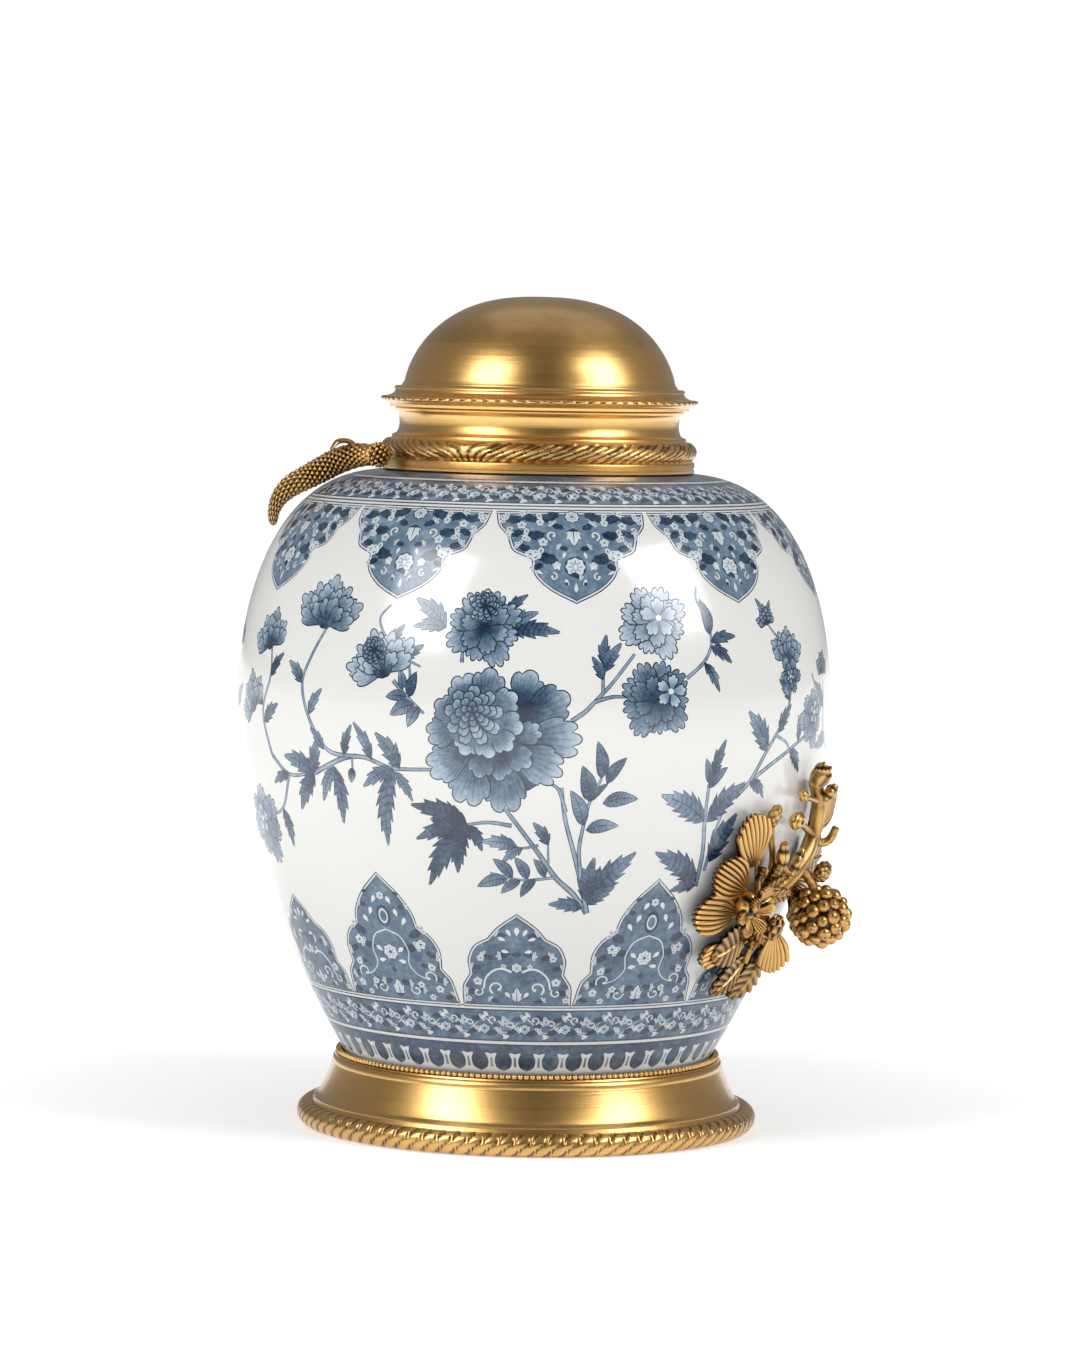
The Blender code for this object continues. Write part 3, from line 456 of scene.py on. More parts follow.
def wreath_relief(azimuth, lift):
    """Slanted narrow leaves with round crests, fine ribs and notches at their tips."""
    slant = wreath_lean(azimuth) * np.sin(np.radians(lift)) * 1.7
    phase = azimuth * WREATH_STROKES / 360.0 - slant
    row = np.floor(phase)
    share = phase - row
    sway = 0.5 + 0.5 * np.sin(row * 2.4)
    crest = np.sqrt(np.clip(1.0 - (2.0 * np.abs(share - 0.5)) ** 2, 0.0, 1.0))
    fine = np.abs(np.sin(math.pi * (2.0 * phase + 0.35 * np.sin(row * 1.7))))
    groove = 1.0 - crest * (0.84 + 0.16 * fine)
    tips = 0.35 * (np.abs(np.sin(np.radians(lift + 55.0 * sway * wreath_lean(azimuth)))) > 0.94)
    return WREATH_DEPTH * np.clip(groove * (0.75 + 0.25 * sway) + tips * crest, 0.0, 1.0)


def build_collar():
    """The collar: plain foot fillet, bundled leaf wreath and the hollow neck that flares to the lid."""
    bore = NECK_RADIUS + SEAT_CLEARANCE
    section = lifted(COLLAR_TOP, (bore, 0.0), (0.0664, 0.0), (0.0669, -0.0006), (0.0667, -0.0014))
    section += curve_points(*lifted(COLLAR_TOP, (0.0663, -0.0018), (0.0647, -0.0058), (0.0663, -0.0058)), 9)
    section += curve_points(*lifted(COLLAR_TOP, (0.0646, -0.0068), (0.0670, -0.0122), (0.0670, -0.0068)), 12)
    section += lifted(COLLAR_TOP, (0.0678, -0.0125), (0.0681, -0.0130), (0.0681, -0.0140), (0.0690, -0.0150))
    section += lifted(WREATH_HEIGHT, (0.0700, 0.0020), (0.0700, -0.0030))
    section += lifted(COLLAR_BASE, (0.0712, 0.0050))
    section += curve_points(*lifted(COLLAR_BASE, (0.0716, 0.0048), (0.0722, 0.0040), (0.0716, 0.0040)), 4)
    section += lifted(
        COLLAR_BASE, (0.0722, 0.0024), (0.0716, 0.0020), (0.0716, 0.0016), (0.0722, 0.0012),
        (0.0722, 0.0), (bore, 0.0),
    )
    wreath = moulded_torus(
        WREATH_CENTRE_RADIUS, WREATH_HEIGHT, WREATH_RADIUS, WREATH_STROKES * 8, 44, wreath_relief, 0.0010,
    )
    collar = turned_form(section, ROUND_SIDES)
    make_piece("leaf_collar", [collar, wreath], GILT, ["neck_collar"])


# Socle

_, SOCLE_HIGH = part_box("base_socle")
SOCLE_TOP = SOCLE_HIGH.z
ROPE_RADIUS = 0.0053
ROPE_CENTRE_RADIUS = SOCLE_HIGH.x - ROPE_RADIUS
ROPE_LOBES = 92
ROPE_DEPTH = 0.00095
SOCLE_BEADS = 200
SOCLE_BEAD_RADIUS = 0.00140


def rope_relief(azimuth, lift):
    """Full slanted lobes parted by a pair of thin grooves."""
    phase = azimuth * ROPE_LOBES / 360.0 - 0.80 * np.sin(np.radians(lift))
    share = np.abs((phase % 1.0) - 0.5) * 2.0
    swell = 0.30 * share ** 3
    grooves = np.exp(-((share - 0.80) / 0.055) ** 2)
    grooves = np.maximum(grooves, 0.55 * np.exp(-((share - 1.0) / 0.05) ** 2))
    return ROPE_DEPTH * np.clip(swell + 0.70 * grooves, 0.0, 1.0)


def build_socle():
    """The foot: beaded rim, round lip, deep cavetto and the rope moulding it stands on."""
    rim = float(np.interp(SOCLE_TOP, SKIN_HEIGHT, SKIN_RADIUS)) + SEAT_CLEARANCE
    section = [(0.0, 0.0040), (0.0938, 0.0040), (0.0900, 0.0124), (rim + 0.0005, 0.0240), (rim, 0.0324)]
    section += [(rim + 0.0003, 0.0328), (rim + 0.0030, 0.0327), (rim + 0.0033, 0.0320)]
    section += curve_points((0.0892, 0.0318), (0.0909, 0.0285), (0.0890, 0.0285), 8)
    section += curve_points((0.0909, 0.0285), (0.0972, 0.0136), (0.0932, 0.0264), 18)
    section += [(0.0984, 0.0130), (0.0990, 0.0124), (0.0990, 0.0118), (0.0996, 0.0110)]
    section += [(0.1000, 0.0080), (0.1000, 0.0030), (0.1006, 0.0), (0.0, 0.0)]
    foot = turned_form(section, ROUND_SIDES)
    rope = moulded_torus(
        ROPE_CENTRE_RADIUS, ROPE_RADIUS, ROPE_RADIUS, ROPE_LOBES * 14, 24, rope_relief, 0.0008,
    )
    forms = [foot, rope]
    ball = sphere_form(8, 6)
    for bead in range(SOCLE_BEADS):
        centre = polar(360.0 * bead / SOCLE_BEADS, rim + 0.0015, SOCLE_TOP - SOCLE_BEAD_RADIUS)
        # Painted shade: the underside of each bead is painted darker.
        hollow = np.clip(-ball.points[:, 2], 0.0, 0.8)
        forms.append(Form(ball.points * SOCLE_BEAD_RADIUS + centre, ball.faces, hollow))
    make_piece("gilt_socle", forms, GILT, ["base_socle"])


def sphere_form(sides, rings):
    """A round form of radius 1."""
    tilt = np.pi * np.arange(1, rings) / rings
    turn = 2.0 * np.pi * np.arange(sides) / sides
    body = np.stack((
        np.sin(tilt)[:, None] * np.cos(turn)[None, :], np.sin(tilt)[:, None] * np.sin(turn)[None, :],
        np.cos(tilt)[:, None] + 0.0 * turn[None, :],
    ), axis=-1).reshape(-1, 3)
    points = np.concatenate((body, [[0.0, 0.0, 1.0], [0.0, 0.0, -1.0]]))
    faces = [face[::-1] for face in grid_faces(rings - 1, sides)]
    top, bottom = len(points) - 2, len(points) - 1
    last = (rings - 2) * sides
    for side in range(sides):
        after = (side + 1) % sides
        faces.append([top, side, after])
        faces.append([bottom, last + after, last + side])
    return Form(points, faces)


build_lid()
build_collar()
build_socle()


# Painting: closed shapes on the unrolled skin, where later shapes cover earlier ones

INK = 0.98
LINE_WIDTH = 0.58
PAINT_FOOT_HEIGHT = 0.0340
PAINT_TOP_RADIUS = 0.0660
FIELD_FOOT_HEIGHT = 0.1150
FIELD_TOP_HEIGHT = 0.2350
PAINT_LOW = float(length_at(PAINT_FOOT_HEIGHT))
PAINT_HIGH = float(np.interp(-PAINT_TOP_RADIUS, -SKIN_RADIUS[TAPER_SAMPLES:], SKIN_LENGTH[TAPER_SAMPLES:]))
FIELD_LOW = float(length_at(FIELD_FOOT_HEIGHT))
FIELD_HIGH = float(length_at(FIELD_TOP_HEIGHT))
SHAPES = []


class Spot:
    """A place on the skin with its own axes in millimetres: x right and y up, turned clockwise."""

    def __init__(self, azimuth, length, turn=0.0, size=1.0, flip=False):
        self.azimuth = math.radians(azimuth)
        self.length = length
        self.turn = turn
        self.size = size
        self.flip = flip

    def place(self, points):
        """Unrolled points from points in the spot's own millimetres."""
        across, up = (np.asarray(points, float).reshape(-1, 2) * (self.size * MM)).T
        across = -across if self.flip else across
        turn = math.radians(self.turn)
        length = self.length + up * math.cos(turn) - across * math.sin(turn)
        across = across * math.cos(turn) + up * math.sin(turn)
        return np.stack(((self.azimuth + across / radius_at(length)) * MEAN_RADIUS, length), axis=1)

    def inside(self, plane):
        """The spot's own millimetres from unrolled points."""
        plane = np.asarray(plane, float).reshape(-1, 2)
        up = plane[:, 1] - self.length
        across = (plane[:, 0] / MEAN_RADIUS - self.azimuth) * radius_at(plane[:, 1])
        turn = math.radians(self.turn)
        side = across * math.cos(turn) - up * math.sin(turn)
        along = across * math.sin(turn) + up * math.cos(turn)
        side = -side if self.flip else side
        return np.stack((side, along), axis=1) / (self.size * MM)

    def at(self, right, up, turn=0.0, size=1.0, flip=False):
        """A spot measured from this one."""
        across, length = self.place([(right, up)])[0]
        turn = self.turn - turn if self.flip else self.turn + turn
        return Spot(math.degrees(across / MEAN_RADIUS), length, turn, self.size * size, self.flip != flip)


def spot_at(azimuth, height, turn=0.0, size=1.0, flip=False):
    """A spot from an azimuth and a height in metres."""
    return Spot(azimuth, float(length_at(height)), turn, size, flip)


def plane_points(places):
    """Unrolled points from (azimuth, height) places."""
    places = np.asarray(places, float)
    return np.stack((np.radians(places[:, 0]) * MEAN_RADIUS, length_at(places[:, 1])), axis=1)


def smooth_path(points, steps=6, closed=False):
    """A Catmull-Rom path through the points."""
    points = np.asarray(points, float)
    if closed:
        ring = np.concatenate((points[-1:], points, points[:2]))
    else:
        ring = np.concatenate((2 * points[:1] - points[1:2], points, 2 * points[-1:] - points[-2:-1]))
    share = np.linspace(0.0, 1.0, steps, endpoint=False)[:, None]
    out = []
    for before, start, end, after in zip(ring, ring[1:], ring[2:], ring[3:]):
        out.append(0.5 * (
            2 * start + (end - before) * share + (2 * before - 5 * start + 4 * end - after) * share ** 2
            + (3 * start - before - 3 * end + after) * share ** 3
        ))
    return np.concatenate(out if closed else out + [points[-1:]])


def inset(outline, amount):
    """The outline moved inwards by an amount."""
    before, after = np.roll(outline, 1, axis=0), np.roll(outline, -1, axis=0)
    run = after - before
    run = run / np.maximum(np.hypot(run[:, 0], run[:, 1]), 1e-9)[:, None]
    area = np.sum(outline[:, 0] * after[:, 1] - after[:, 0] * outline[:, 1])
    return outline + math.copysign(amount, area) * np.stack((-run[:, 1], run[:, 0]), axis=1)


def paint(spot, outline, base, tip=None, kind="flat", veins=0.0, strength=0.0, reach=1.0):
    """Adds a shape given in the spot's own millimetres."""
    tip = base if tip is None else tip
    SHAPES.append((spot.place(outline), spot, base, tip, kind, veins, strength, reach))


def inked(spot, outline, base, tip, kind, veins, strength, reach, line=LINE_WIDTH, ink=INK):
    """A shape with an inked edge."""
    paint(spot, outline, ink)
    paint(spot, inset(outline, line / spot.size), base, tip, kind, veins, strength, reach)


def disc(radius, stretch=1.0, count=12):
    """A round or oval outline about the spot."""
    turn = np.arange(count) * 2.0 * math.pi / count
    return np.stack((radius * np.cos(turn), radius * stretch * np.sin(turn)), axis=1)


def drop_outline(length, width, count=7):
    """A drop from its point at the spot to its round end."""
    share = np.linspace(0.0, 1.0, count)
    half = 0.5 * width * np.sin(math.pi * share ** 1.35) ** 0.8
    half[-1] = 0.0
    left = np.stack((-half, length * share), axis=1)
    right = np.stack((half, length * share), axis=1)[-2:0:-1]
    return np.concatenate((left, right))


def stroke(spot, points, width, tone, taper=0.55, steps=5):
    """A brush stroke along a smooth path in the spot's own millimetres."""
    path = smooth_path(points, steps)
    run = np.gradient(path, axis=0)
    run = run / np.maximum(np.hypot(run[:, 0], run[:, 1]), 1e-9)[:, None]
    side = np.stack((run[:, 1], -run[:, 0]), axis=1)
    share = np.linspace(0.0, 1.0, len(path))
    half = (0.5 * width * (1.0 - taper * share))[:, None]
    paint(spot, np.concatenate((path + side * half, (path - side * half)[::-1])), tone)


def stem(places, width=1.3, tone=0.38):
    """A stem along (azimuth, height) places: dark edges with a paler middle."""
    spot = spot_at(*places[0])
    path = spot.inside(plane_points(places))
    stroke(spot, path, 1.75 * width, 0.80, 0.35)
    stroke(spot, path, width, tone, 0.35)


def petal_outline(length, spread, lobes, ruffle):
    """A fan petal from its base at the spot, with a scalloped outer edge."""
    share = np.linspace(-1.0, 1.0, 6 * lobes + 1)
    turn = np.radians(spread) * share
    reach = length * np.cos(share * math.pi / 2 * 0.985) ** 0.30
    scallop = np.abs(np.sin(lobes * math.pi * (share + 1.0) / 2.0)) ** 0.55
    reach = reach * (1.0 - ruffle * (1.0 - scallop) * np.cos(share * math.pi / 2 * 0.985) ** 0.5)
    edge = np.stack((reach * np.sin(turn), reach * np.cos(turn)), axis=1)
    return np.concatenate(([[0.0, -0.04 * length]], edge))


def petal(spot, length, spread=42.0, lobes=5, base=0.78, tip=0.14, ruffle=0.13, veins=22.0, strength=0.16):
    """A petal: dark at its base, pale at its scalloped rim, with fine veins."""
    outline = petal_outline(length, spread, lobes, ruffle)
    inked(spot, outline, base, tip, "petal", veins, strength, length)


def petal_to(spot, base, tip, spread=42.0, lobes=5, tones=(0.78, 0.08)):
    """A petal between two points of the spot's own millimetres."""
    right, up = tip[0] - base[0], tip[1] - base[1]
    root = spot.at(*base, math.degrees(math.atan2(right, up)))
    petal(root, math.hypot(right, up), spread, lobes, *tones)


def leaf_outline(length, width, bend, teeth):
    """A leaf from its base at the spot, with teeth that point forward."""
    if teeth:
        stops = np.array((0.0, 0.5, 0.92))
        share = np.concatenate([(stops + tooth) / teeth for tooth in range(teeth)] + [[1.0]])
        swell = np.array(([0.80, 0.98, 1.22] * teeth) + [0.0])
        forward = np.array(([0.0, 0.01, 0.06] * teeth) + [0.0]) * length
    else:
        share = np.linspace(0.0, 1.0, 11)
        swell = np.ones(len(share))
        forward = np.zeros(len(share))
    half = 0.5 * width * np.sin(math.pi * share ** 0.78) ** 0.80 * swell
    half[0], half[-1] = 0.12, 0.0
    middle = bend * length * np.sin(math.pi * share)
    along = length * share
    left = np.stack((middle - half, along + forward), axis=1)
    right = np.stack((middle + half, along + forward), axis=1)[-2::-1]
    return np.concatenate((left, right))


def leaf(spot, length, width, bend=0.06, teeth=0, base=0.62, tip=0.34):
    """A leaf: inked edge, wash that pales to its tip, side veins and a dark midrib."""
    inked(spot, leaf_outline(length, width, bend, teeth), base, tip, "leaf", 9.0, 0.26, length, 0.36)
    share = np.linspace(0.0, 0.88, 6)
    midrib = np.stack((bend * length * np.sin(math.pi * share), length * share), axis=1)
    stroke(spot, midrib, 0.55, 0.92, 0.6, 2)


def leaf_to(base, tip, width=0.42, bend=0.07, teeth=0, tones=(0.62, 0.34)):
    """A leaf between two (azimuth, height) places; its width is a share of its length."""
    spot = spot_at(*base)
    right, up = spot.inside(plane_points([tip]))[0]
    length = math.hypot(right, up)
    root = spot_at(*base, turn=math.degrees(math.atan2(right, up)))
    leaf(root, length, width * length, bend, teeth, *tones)


def blossom(spot, radius, petals=6, ground=0.86, white=0.06, centre=0.5):
    """A small flower: a dark ground, pale petals and a dot."""
    if ground is not None:
        paint(spot, disc(radius * 1.22, count=14), ground)
    for index in range(petals):
        there = spot.at(0.0, 0.0, 360.0 * index / petals)
        paint(there, drop_outline(radius * 1.12, radius * 0.88, 6), white + 0.04)
        paint(there.at(0.0, 0.30 * radius), drop_outline(0.52 * radius, 0.16 * radius, 4), 0.50)
    paint(spot, disc(radius * 0.28, count=7), centre)


def curl(spot, size, tone=0.05, width=0.9, flip=False):
    """A scroll that ends in a knob."""
    spot = spot.at(0.0, 0.0, flip=flip)
    turn = np.linspace(-0.4, 1.15, 8) * math.pi
    reach = size * np.linspace(1.0, 0.28, 8)
    path = np.stack((reach * np.cos(turn), reach * np.sin(turn)), axis=1)
    stroke(spot, path, width, tone, 0.1, 2)
    paint(spot.at(*path[-1]), disc(width * 0.95, count=7), tone)


def knot(spot, size, tone):
    """A lobed dark leaf with three pale petals that fold over one side of it."""
    there = spot.at(0.0, 0.0, 28.0 * math.sin(57.0 * size * size + 3000.0 * spot.length))
    turn = np.linspace(0.0, 2.0 * math.pi, 29)[:-1]
    reach = size * (0.88 + 0.26 * np.abs(np.sin(3.5 * turn + 0.5)))
    paint(there, np.stack((1.62 * reach * np.cos(turn), 0.90 * reach * np.sin(turn)), axis=1), tone)
    if size > 1.1:
        for lean in (-62.0, 0.0, 62.0):
            petal_spot = there.at(1.25 * size, 0.15 * size, 70.0 + lean)
            paint(petal_spot, drop_outline(1.55 * size, 0.95 * size, 5), 0.12)
            paint(petal_spot.at(0.0, 0.40 * size), drop_outline(0.80 * size, 0.30 * size, 4), 0.60)


# Flowers of the field

def rosette(spot, radius, rings, lean=0.0):
    """A full heart of closed petals, ring within ring."""
    paint(spot, disc(radius * 1.01, count=24), 0.60)
    for ring in range(rings):
        reach = radius * (1.0, 0.80, 0.61, 0.43, 0.26)[ring]
        count = (9, 8, 7, 6, 5)[ring]
        centre = spot.at(lean * radius * ring / rings, 0.10 * radius * ring / rings)
        for index in range(count):
            turn = 360.0 * (index + 0.5 * (ring % 2)) / count + 9.0 * ring
            tip = 0.24 + 0.03 * (index % 3)
            petal(centre.at(0.0, 0.0, turn), reach, 215.0 / count, 2, 0.80, tip, 0.04, 10.0, 0.14)


# tip and base right and up in millimetres, spread, lobes, ink at the base and at the tip of each petal
PEONY_PETALS = (
    ((-6.0, 18.5), (-1.5, 3.0), 50, 6, 0.74, 0.10), ((7.5, 21.5), (5.5, 4.0), 40, 5, 0.76, 0.12),
    ((26.2, 20.6), (23.8, 5.5), 44, 5, 0.82, 0.12), ((42.5, 10.0), (25.0, -2.0), 34, 5, 0.92, 0.16),
    ((48.4, -9.5), (21.0, -12.0), 30, 7, 0.74, 0.06), ((39.7, -25.5), (18.0, -17.0), 32, 7, 0.70, 0.08),
    ((15.1, -43.6), (15.1, -19.0), 32, 6, 0.76, 0.20), ((-4.0, -40.5), (2.0, -22.0), 42, 6, 0.68, 0.12),
    ((-21.4, -24.6), (-1.0, -21.0), 40, 6, 0.66, 0.10), ((-21.8, -9.5), (-7.0, -7.0), 44, 6, 0.72, 0.12),
    ((-17.9, 5.6), (-8.0, -1.0), 48, 5, 0.70, 0.14),
    ((30.5, -5.0), (20.0, -12.5), 36, 6, 0.84, 0.14), ((12.0, -29.0), (13.0, -17.0), 40, 5, 0.92, 0.20),
    ((26.0, -22.0), (15.0, -15.0), 36, 5, 0.88, 0.16), ((2.0, -28.0), (7.0, -17.0), 42, 5, 0.84, 0.20),
    ((19.5, 10.0), (9.5, 3.0), 46, 3, 0.66, 0.06), ((22.5, -5.5), (10.0, -3.0), 50, 4, 0.70, 0.05),
    ((-5.0, -18.0), (0.5, -6.5), 46, 3, 0.62, 0.05), ((8.0, -19.0), (5.0, -7.0), 46, 3, 0.64, 0.05),
    ((17.5, -15.0), (9.0, -6.0), 40, 3, 0.70, 0.06), ((-10.5, -5.5), (-2.0, -2.0), 44, 3, 0.60, 0.08),
    ((-11.0, 4.0), (-3.0, 1.5), 44, 3, 0.62, 0.10),
)


def great_peony(spot):
    """The large peony: two rows of scalloped petals round a ball of closed ones."""
    paint(spot.at(12.5, -11.5), disc(26.0, 0.92, 30), 0.88)
    for tip, base, spread, lobes, dark, light in PEONY_PETALS:
        root = (0.82 * base[0], 0.82 * base[1])
        petal_to(spot, root, tip, spread + 4, max(3, lobes - 2), (dark + 0.22, light + 0.06))
    rosette(spot, 14.0, 5, -0.05)


def open_flower(spot, radius, petals=9, start=0.0, heart=(0.0, 0.0), heart_radius=0.26, tones=(0.84, 0.24)):
    """An open flower of two rows of petals with a pale heart."""
    for row, (reach, count, spread) in enumerate(((1.0, petals - 1, 34.0), (0.70, petals - 3, 38.0))):
        for index in range(count):
            turn = start + 360.0 * (index + 0.5 * row) / count
            length = radius * reach * (1.0 + 0.10 * math.sin(2.7 * index + row))
            petal(spot.at(0.0, 0.0, turn), length, spread, 5, tones[0], tones[1] + 0.06 * row)
    middle = spot.at(heart[0] * radius, heart[1] * radius)
    for index in range(5):
        petal(middle.at(0.0, 0.0, 72.0 * index), radius * heart_radius * 1.35, 38.0, 3, 0.60, 0.05)
    paint(middle, disc(radius * 0.08, count=8), 0.04)


def side_flower(spot, radius, petals=5, tones=(0.86, 0.20)):
    """A flower seen from the side, opening upwards from its calyx."""
    rows = ((1.0, petals, 62.0), (0.82, petals + 1, 78.0), (0.58, petals - 1, 50.0))
    for row, (reach, count, fan) in enumerate(rows):
        for index in range(count):
            turn = fan * (2.0 * index / (count - 1) - 1.0)
            length = radius * reach * (1.0 - 0.08 * (index % 2))
            petal(spot.at(0.0, 0.0, turn), length, 24.0 + 5 * row, 3, *tones)
    for turn in (-46.0, 0.0, 46.0):
        leaf(spot.at(0.0, -0.10 * radius, turn), radius * 0.36, radius * 0.16, 0.0, 0, 0.84, 0.60)


def bud(base, tip):
    """A closed bud between two places."""
    leaf_to(base, tip, 0.62, 0.0, 0, (0.84, 0.30))
    spot = spot_at(*base)
    right, up = spot.inside(plane_points([tip]))[0]
    turn = math.degrees(math.atan2(right, up))
    for side in (-24.0, 24.0):
        leaf(spot_at(*base, turn=turn + side), 0.5 * math.hypot(right, up), 1.5, 0.0, 0, 0.86, 0.6)


# (azimuth, height) places along each stem, and its width in millimetres
FIELD_STEMS = (
    ([(-46, .170), (-38, .178), (-33, .179), (-27, .175), (-18, .1755)], 1.5),
    ([(-35, .179), (-42, .181), (-47, .195), (-49, .210), (-47, .222), (-43.5, .236)], 1.3),
    ([(-60, .176), (-54, .168), (-46, .170)], 1.3),
    ([(-60, .176), (-63, .195), (-60, .212), (-61, .228)], 1.2),
    ([(-54, .168), (-58, .152), (-66, .146)], 1.1),
    ([(-36, .179), (-36, .172)], 0.8),
    ([(-27, .214), (-24, .207), (-20.5, .200)], 1.2),
    ([(-24, .207), (-23.5, .216), (-24.5, .2235), (-28, .2285)], 0.9),
    ([(-24.5, .2235), (-21.5, .2205)], 0.8), ([(-28, .2285), (-31, .240), (-29, .247)], 0.8),
    ([(-13.5, .223), (-13.5, .230)], 1.1),
    ([(12, .112), (8.8, .121), (5, .1285), (1, .1410), (-2, .1500), (-5, .1590)], 1.6),
    ([(12, .112), (10.4, .125), (8.4, .140), (6.4, .155), (5.5, .169)], 1.5),
    ([(10.4, .125), (9.4, .140), (10, .152), (11, .163), (13, .173)], 1.2),
    ([(-3.7, .1515), (-8, .1528), (-12.3, .1515)], 1.2),
    ([(1.5, .1430), (-2.0, .1415), (-5.0, .1440)], 0.8), ([(3.5, .1345), (3.3, .1450)], 0.7),
    ([(5.0, .1285), (-1.5, .1270), (-8.0, .1300)], 0.9),
    ([(6.5, .158), (5.0, .168), (3.0, .171)], 1.1),
    ([(7.0, .1985), (9.5, .2025), (11.5, .2075), (14.7, .2155), (19.0, .2280)], 1.3),
    ([(11.2, .2070), (14.5, .2092), (17.5, .2092)], 1.2),
    ([(12.8, .2112), (12.8, .2175), (13.2, .2230)], 1.0),
    ([(29.5, .217), (33.5, .224), (35.5, .232), (35.3, .242)], 1.1),
    ([(35.3, .242), (33.2, .251), (33.6, .257)], 0.8),
    ([(36, .123), (36.3, .138), (35.5, .153), (35.5, .170)], 1.5),
    ([(37.5, .130), (38.5, .148), (40.0, .158)], 1.1),
    ([(46, .170), (51, .176), (58, .183), (66, .190)], 1.4),
    ([(42.5, .163), (46, .170), (50, .183), (56, .200), (57.5, .214), (57, .228)], 1.4),
    ([(52.5, .190), (56.5, .186), (58.5, .180)], 0.9), ([(57, .228), (53.0, .236), (51.5, .240)], 0.9),
    ([(66, .190), (70, .204), (67, .216)], 1.1),
)
# (azimuth, height) of each leaf's root and tip, its width as a share of its length, and its teeth
FIELD_LEAVES = (
    ((-46, .170), (-55, .176), .40, 4), ((-46, .170), (-51, .153), .42, 4),
    ((-46, .170), (-44.5, .186), .44, 3),
    ((-40.5, .174), (-39.5, .149), .30, 4), ((-40.5, .174), (-44.0, .158), .34, 3),
    ((-47, .196), (-43.5, .208), .36, 3),
    ((-43, .181), (-46.5, .190), .40, 3), ((-38, .179), (-36.0, .193), .34, 3),
    ((-49, .210), (-53.5, .219), .46, 3),
    ((-27, .175), (-33.5, .166), .38, 4), ((-27, .175), (-29.0, .141), .24, 6),
    ((-27, .174), (-23.2, .161), .32, 4),
    ((-25.5, .175), (-30.5, .190), .42, 4), ((-31.5, .178), (-35.5, .194), .30, 3),
    ((-24, .207), (-28.5, .2065), .50, 0), ((-22.5, .204), (-27.5, .1985), .52, 0),
    ((-21.5, .203), (-23.8, .1935), .52, 0),
    ((-23.5, .207), (-22.2, .2185), .46, 0), ((-25, .210), (-25.8, .2195), .46, 0),
    ((-24.5, .2235), (-21.2, .2300), .50, 3),
    ((-24.5, .2235), (-26.3, .2320), .50, 3), ((-28, .2285), (-25.5, .2385), .44, 3),
    ((-17.0, .238), (-23.5, .2500), .46, 4), ((-17.0, .238), (-23.5, .2380), .40, 4),
    ((-4.5, .237), (4.5, .2370), .36, 4),
    ((-5.0, .239), (0.5, .2455), .44, 3), ((-5.5, .245), (-1.5, .2530), .40, 3),
    ((-12.3, .1515), (-19.0, .1600), .34, 4), ((-12.3, .1515), (-23.2, .1590), .36, 5),
    ((-12.3, .1515), (-22.5, .1440), .36, 5),
    ((-12.3, .1515), (-20.5, .1240), .30, 6), ((-12.8, .1500), (-14.5, .1300), .38, 5),
    ((-12.3, .1515), (-9.6, .1400), .46, 4),
    ((-2.5, .1418), (-9.5, .1440), .42, 4), ((-1.5, .1418), (-5.5, .1350), .40, 3),
    ((3.4, .1430), (0.4, .1530), .44, 3),
    ((-4.5, .1275), (-10.8, .1235), .42, 0), ((-2.0, .1270), (-6.0, .1205), .42, 0),
    ((1.0, .1278), (-2.0, .1190), .42, 0),
    ((-3.5, .1280), (-7.5, .1365), .42, 0), ((-0.5, .1275), (-3.2, .1375), .44, 0),
    ((3.0, .1285), (0.5, .1370), .42, 0),
    ((13, .173), (12, .190), .36, 0), ((14, .171), (17.8, .1825), .38, 0),
    ((10.8, .163), (9.3, .179), .46, 0),
    ((13.5, .162), (20.5, .1640), .42, 0), ((10.0, .152), (7.2, .168), .40, 0),
    ((10.5, .150), (17.0, .1520), .42, 0),
    ((11.0, .163), (14.5, .1712), .30, 0),
    ((11.8, .1165), (20.8, .1390), .34, 6), ((11.8, .1170), (12.6, .1370), .40, 4),
    ((11.8, .1160), (17.2, .1240), .46, 4),
    ((11, .1145), (4.0, .1160), .44, 4),
    ((12.8, .2165), (10.8, .2265), .44, 3), ((13.2, .2225), (13.6, .2360), .40, 3),
    ((13.1, .2200), (16.4, .2325), .40, 3),
    ((35.3, .233), (41.5, .2350), .40, 3), ((35.3, .231), (40.0, .2235), .42, 3),
    ((33.5, .224), (36.8, .2110), .32, 3),
    ((35.3, .236), (33.8, .2520), .36, 0),
    ((35.5, .153), (25.5, .1650), .42, 6), ((36, .1525), (44.5, .1690), .38, 5),
    ((35.5, .170), (34.3, .1815), .40, 0),
    ((35.5, .168), (39.8, .1770), .40, 0), ((36.5, .173), (38.8, .1890), .34, 3),
    ((38.3, .134), (43.5, .1550), .44, 4),
    ((36, .125), (25.5, .1390), .38, 6), ((36.0, .1235), (30.0, .1215), .44, 3),
    ((46, .170), (48.8, .1640), .44, 3), ((47, .171), (50.5, .1620), .36, 3),
    ((50.0, .183), (44.5, .2010), .44, 5),
    ((50.5, .186), (47.0, .1890), .40, 3), ((53.5, .191), (57.5, .2030), .42, 4),
    ((57.0, .205), (53.5, .2150), .40, 3),
    ((58, .183), (62.5, .1720), .42, 4), ((61.0, .186), (60.5, .1980), .40, 3),
    ((51.5, .240), (49.0, .2510), .40, 3),
    ((51.5, .240), (53.5, .2500), .40, 3),
    ((-58, .152), (-56.5, .1350), .40, 4), ((-62, .149), (-63.5, .1340), .40, 4),
    ((-54, .168), (-60.0, .1630), .36, 3),
    ((-62.5, .190), (-57.0, .1990), .42, 4), ((-62.8, .198), (-68.5, .2050), .40, 4),
    ((-60.2, .211), (-55.8, .2220), .38, 3),
)


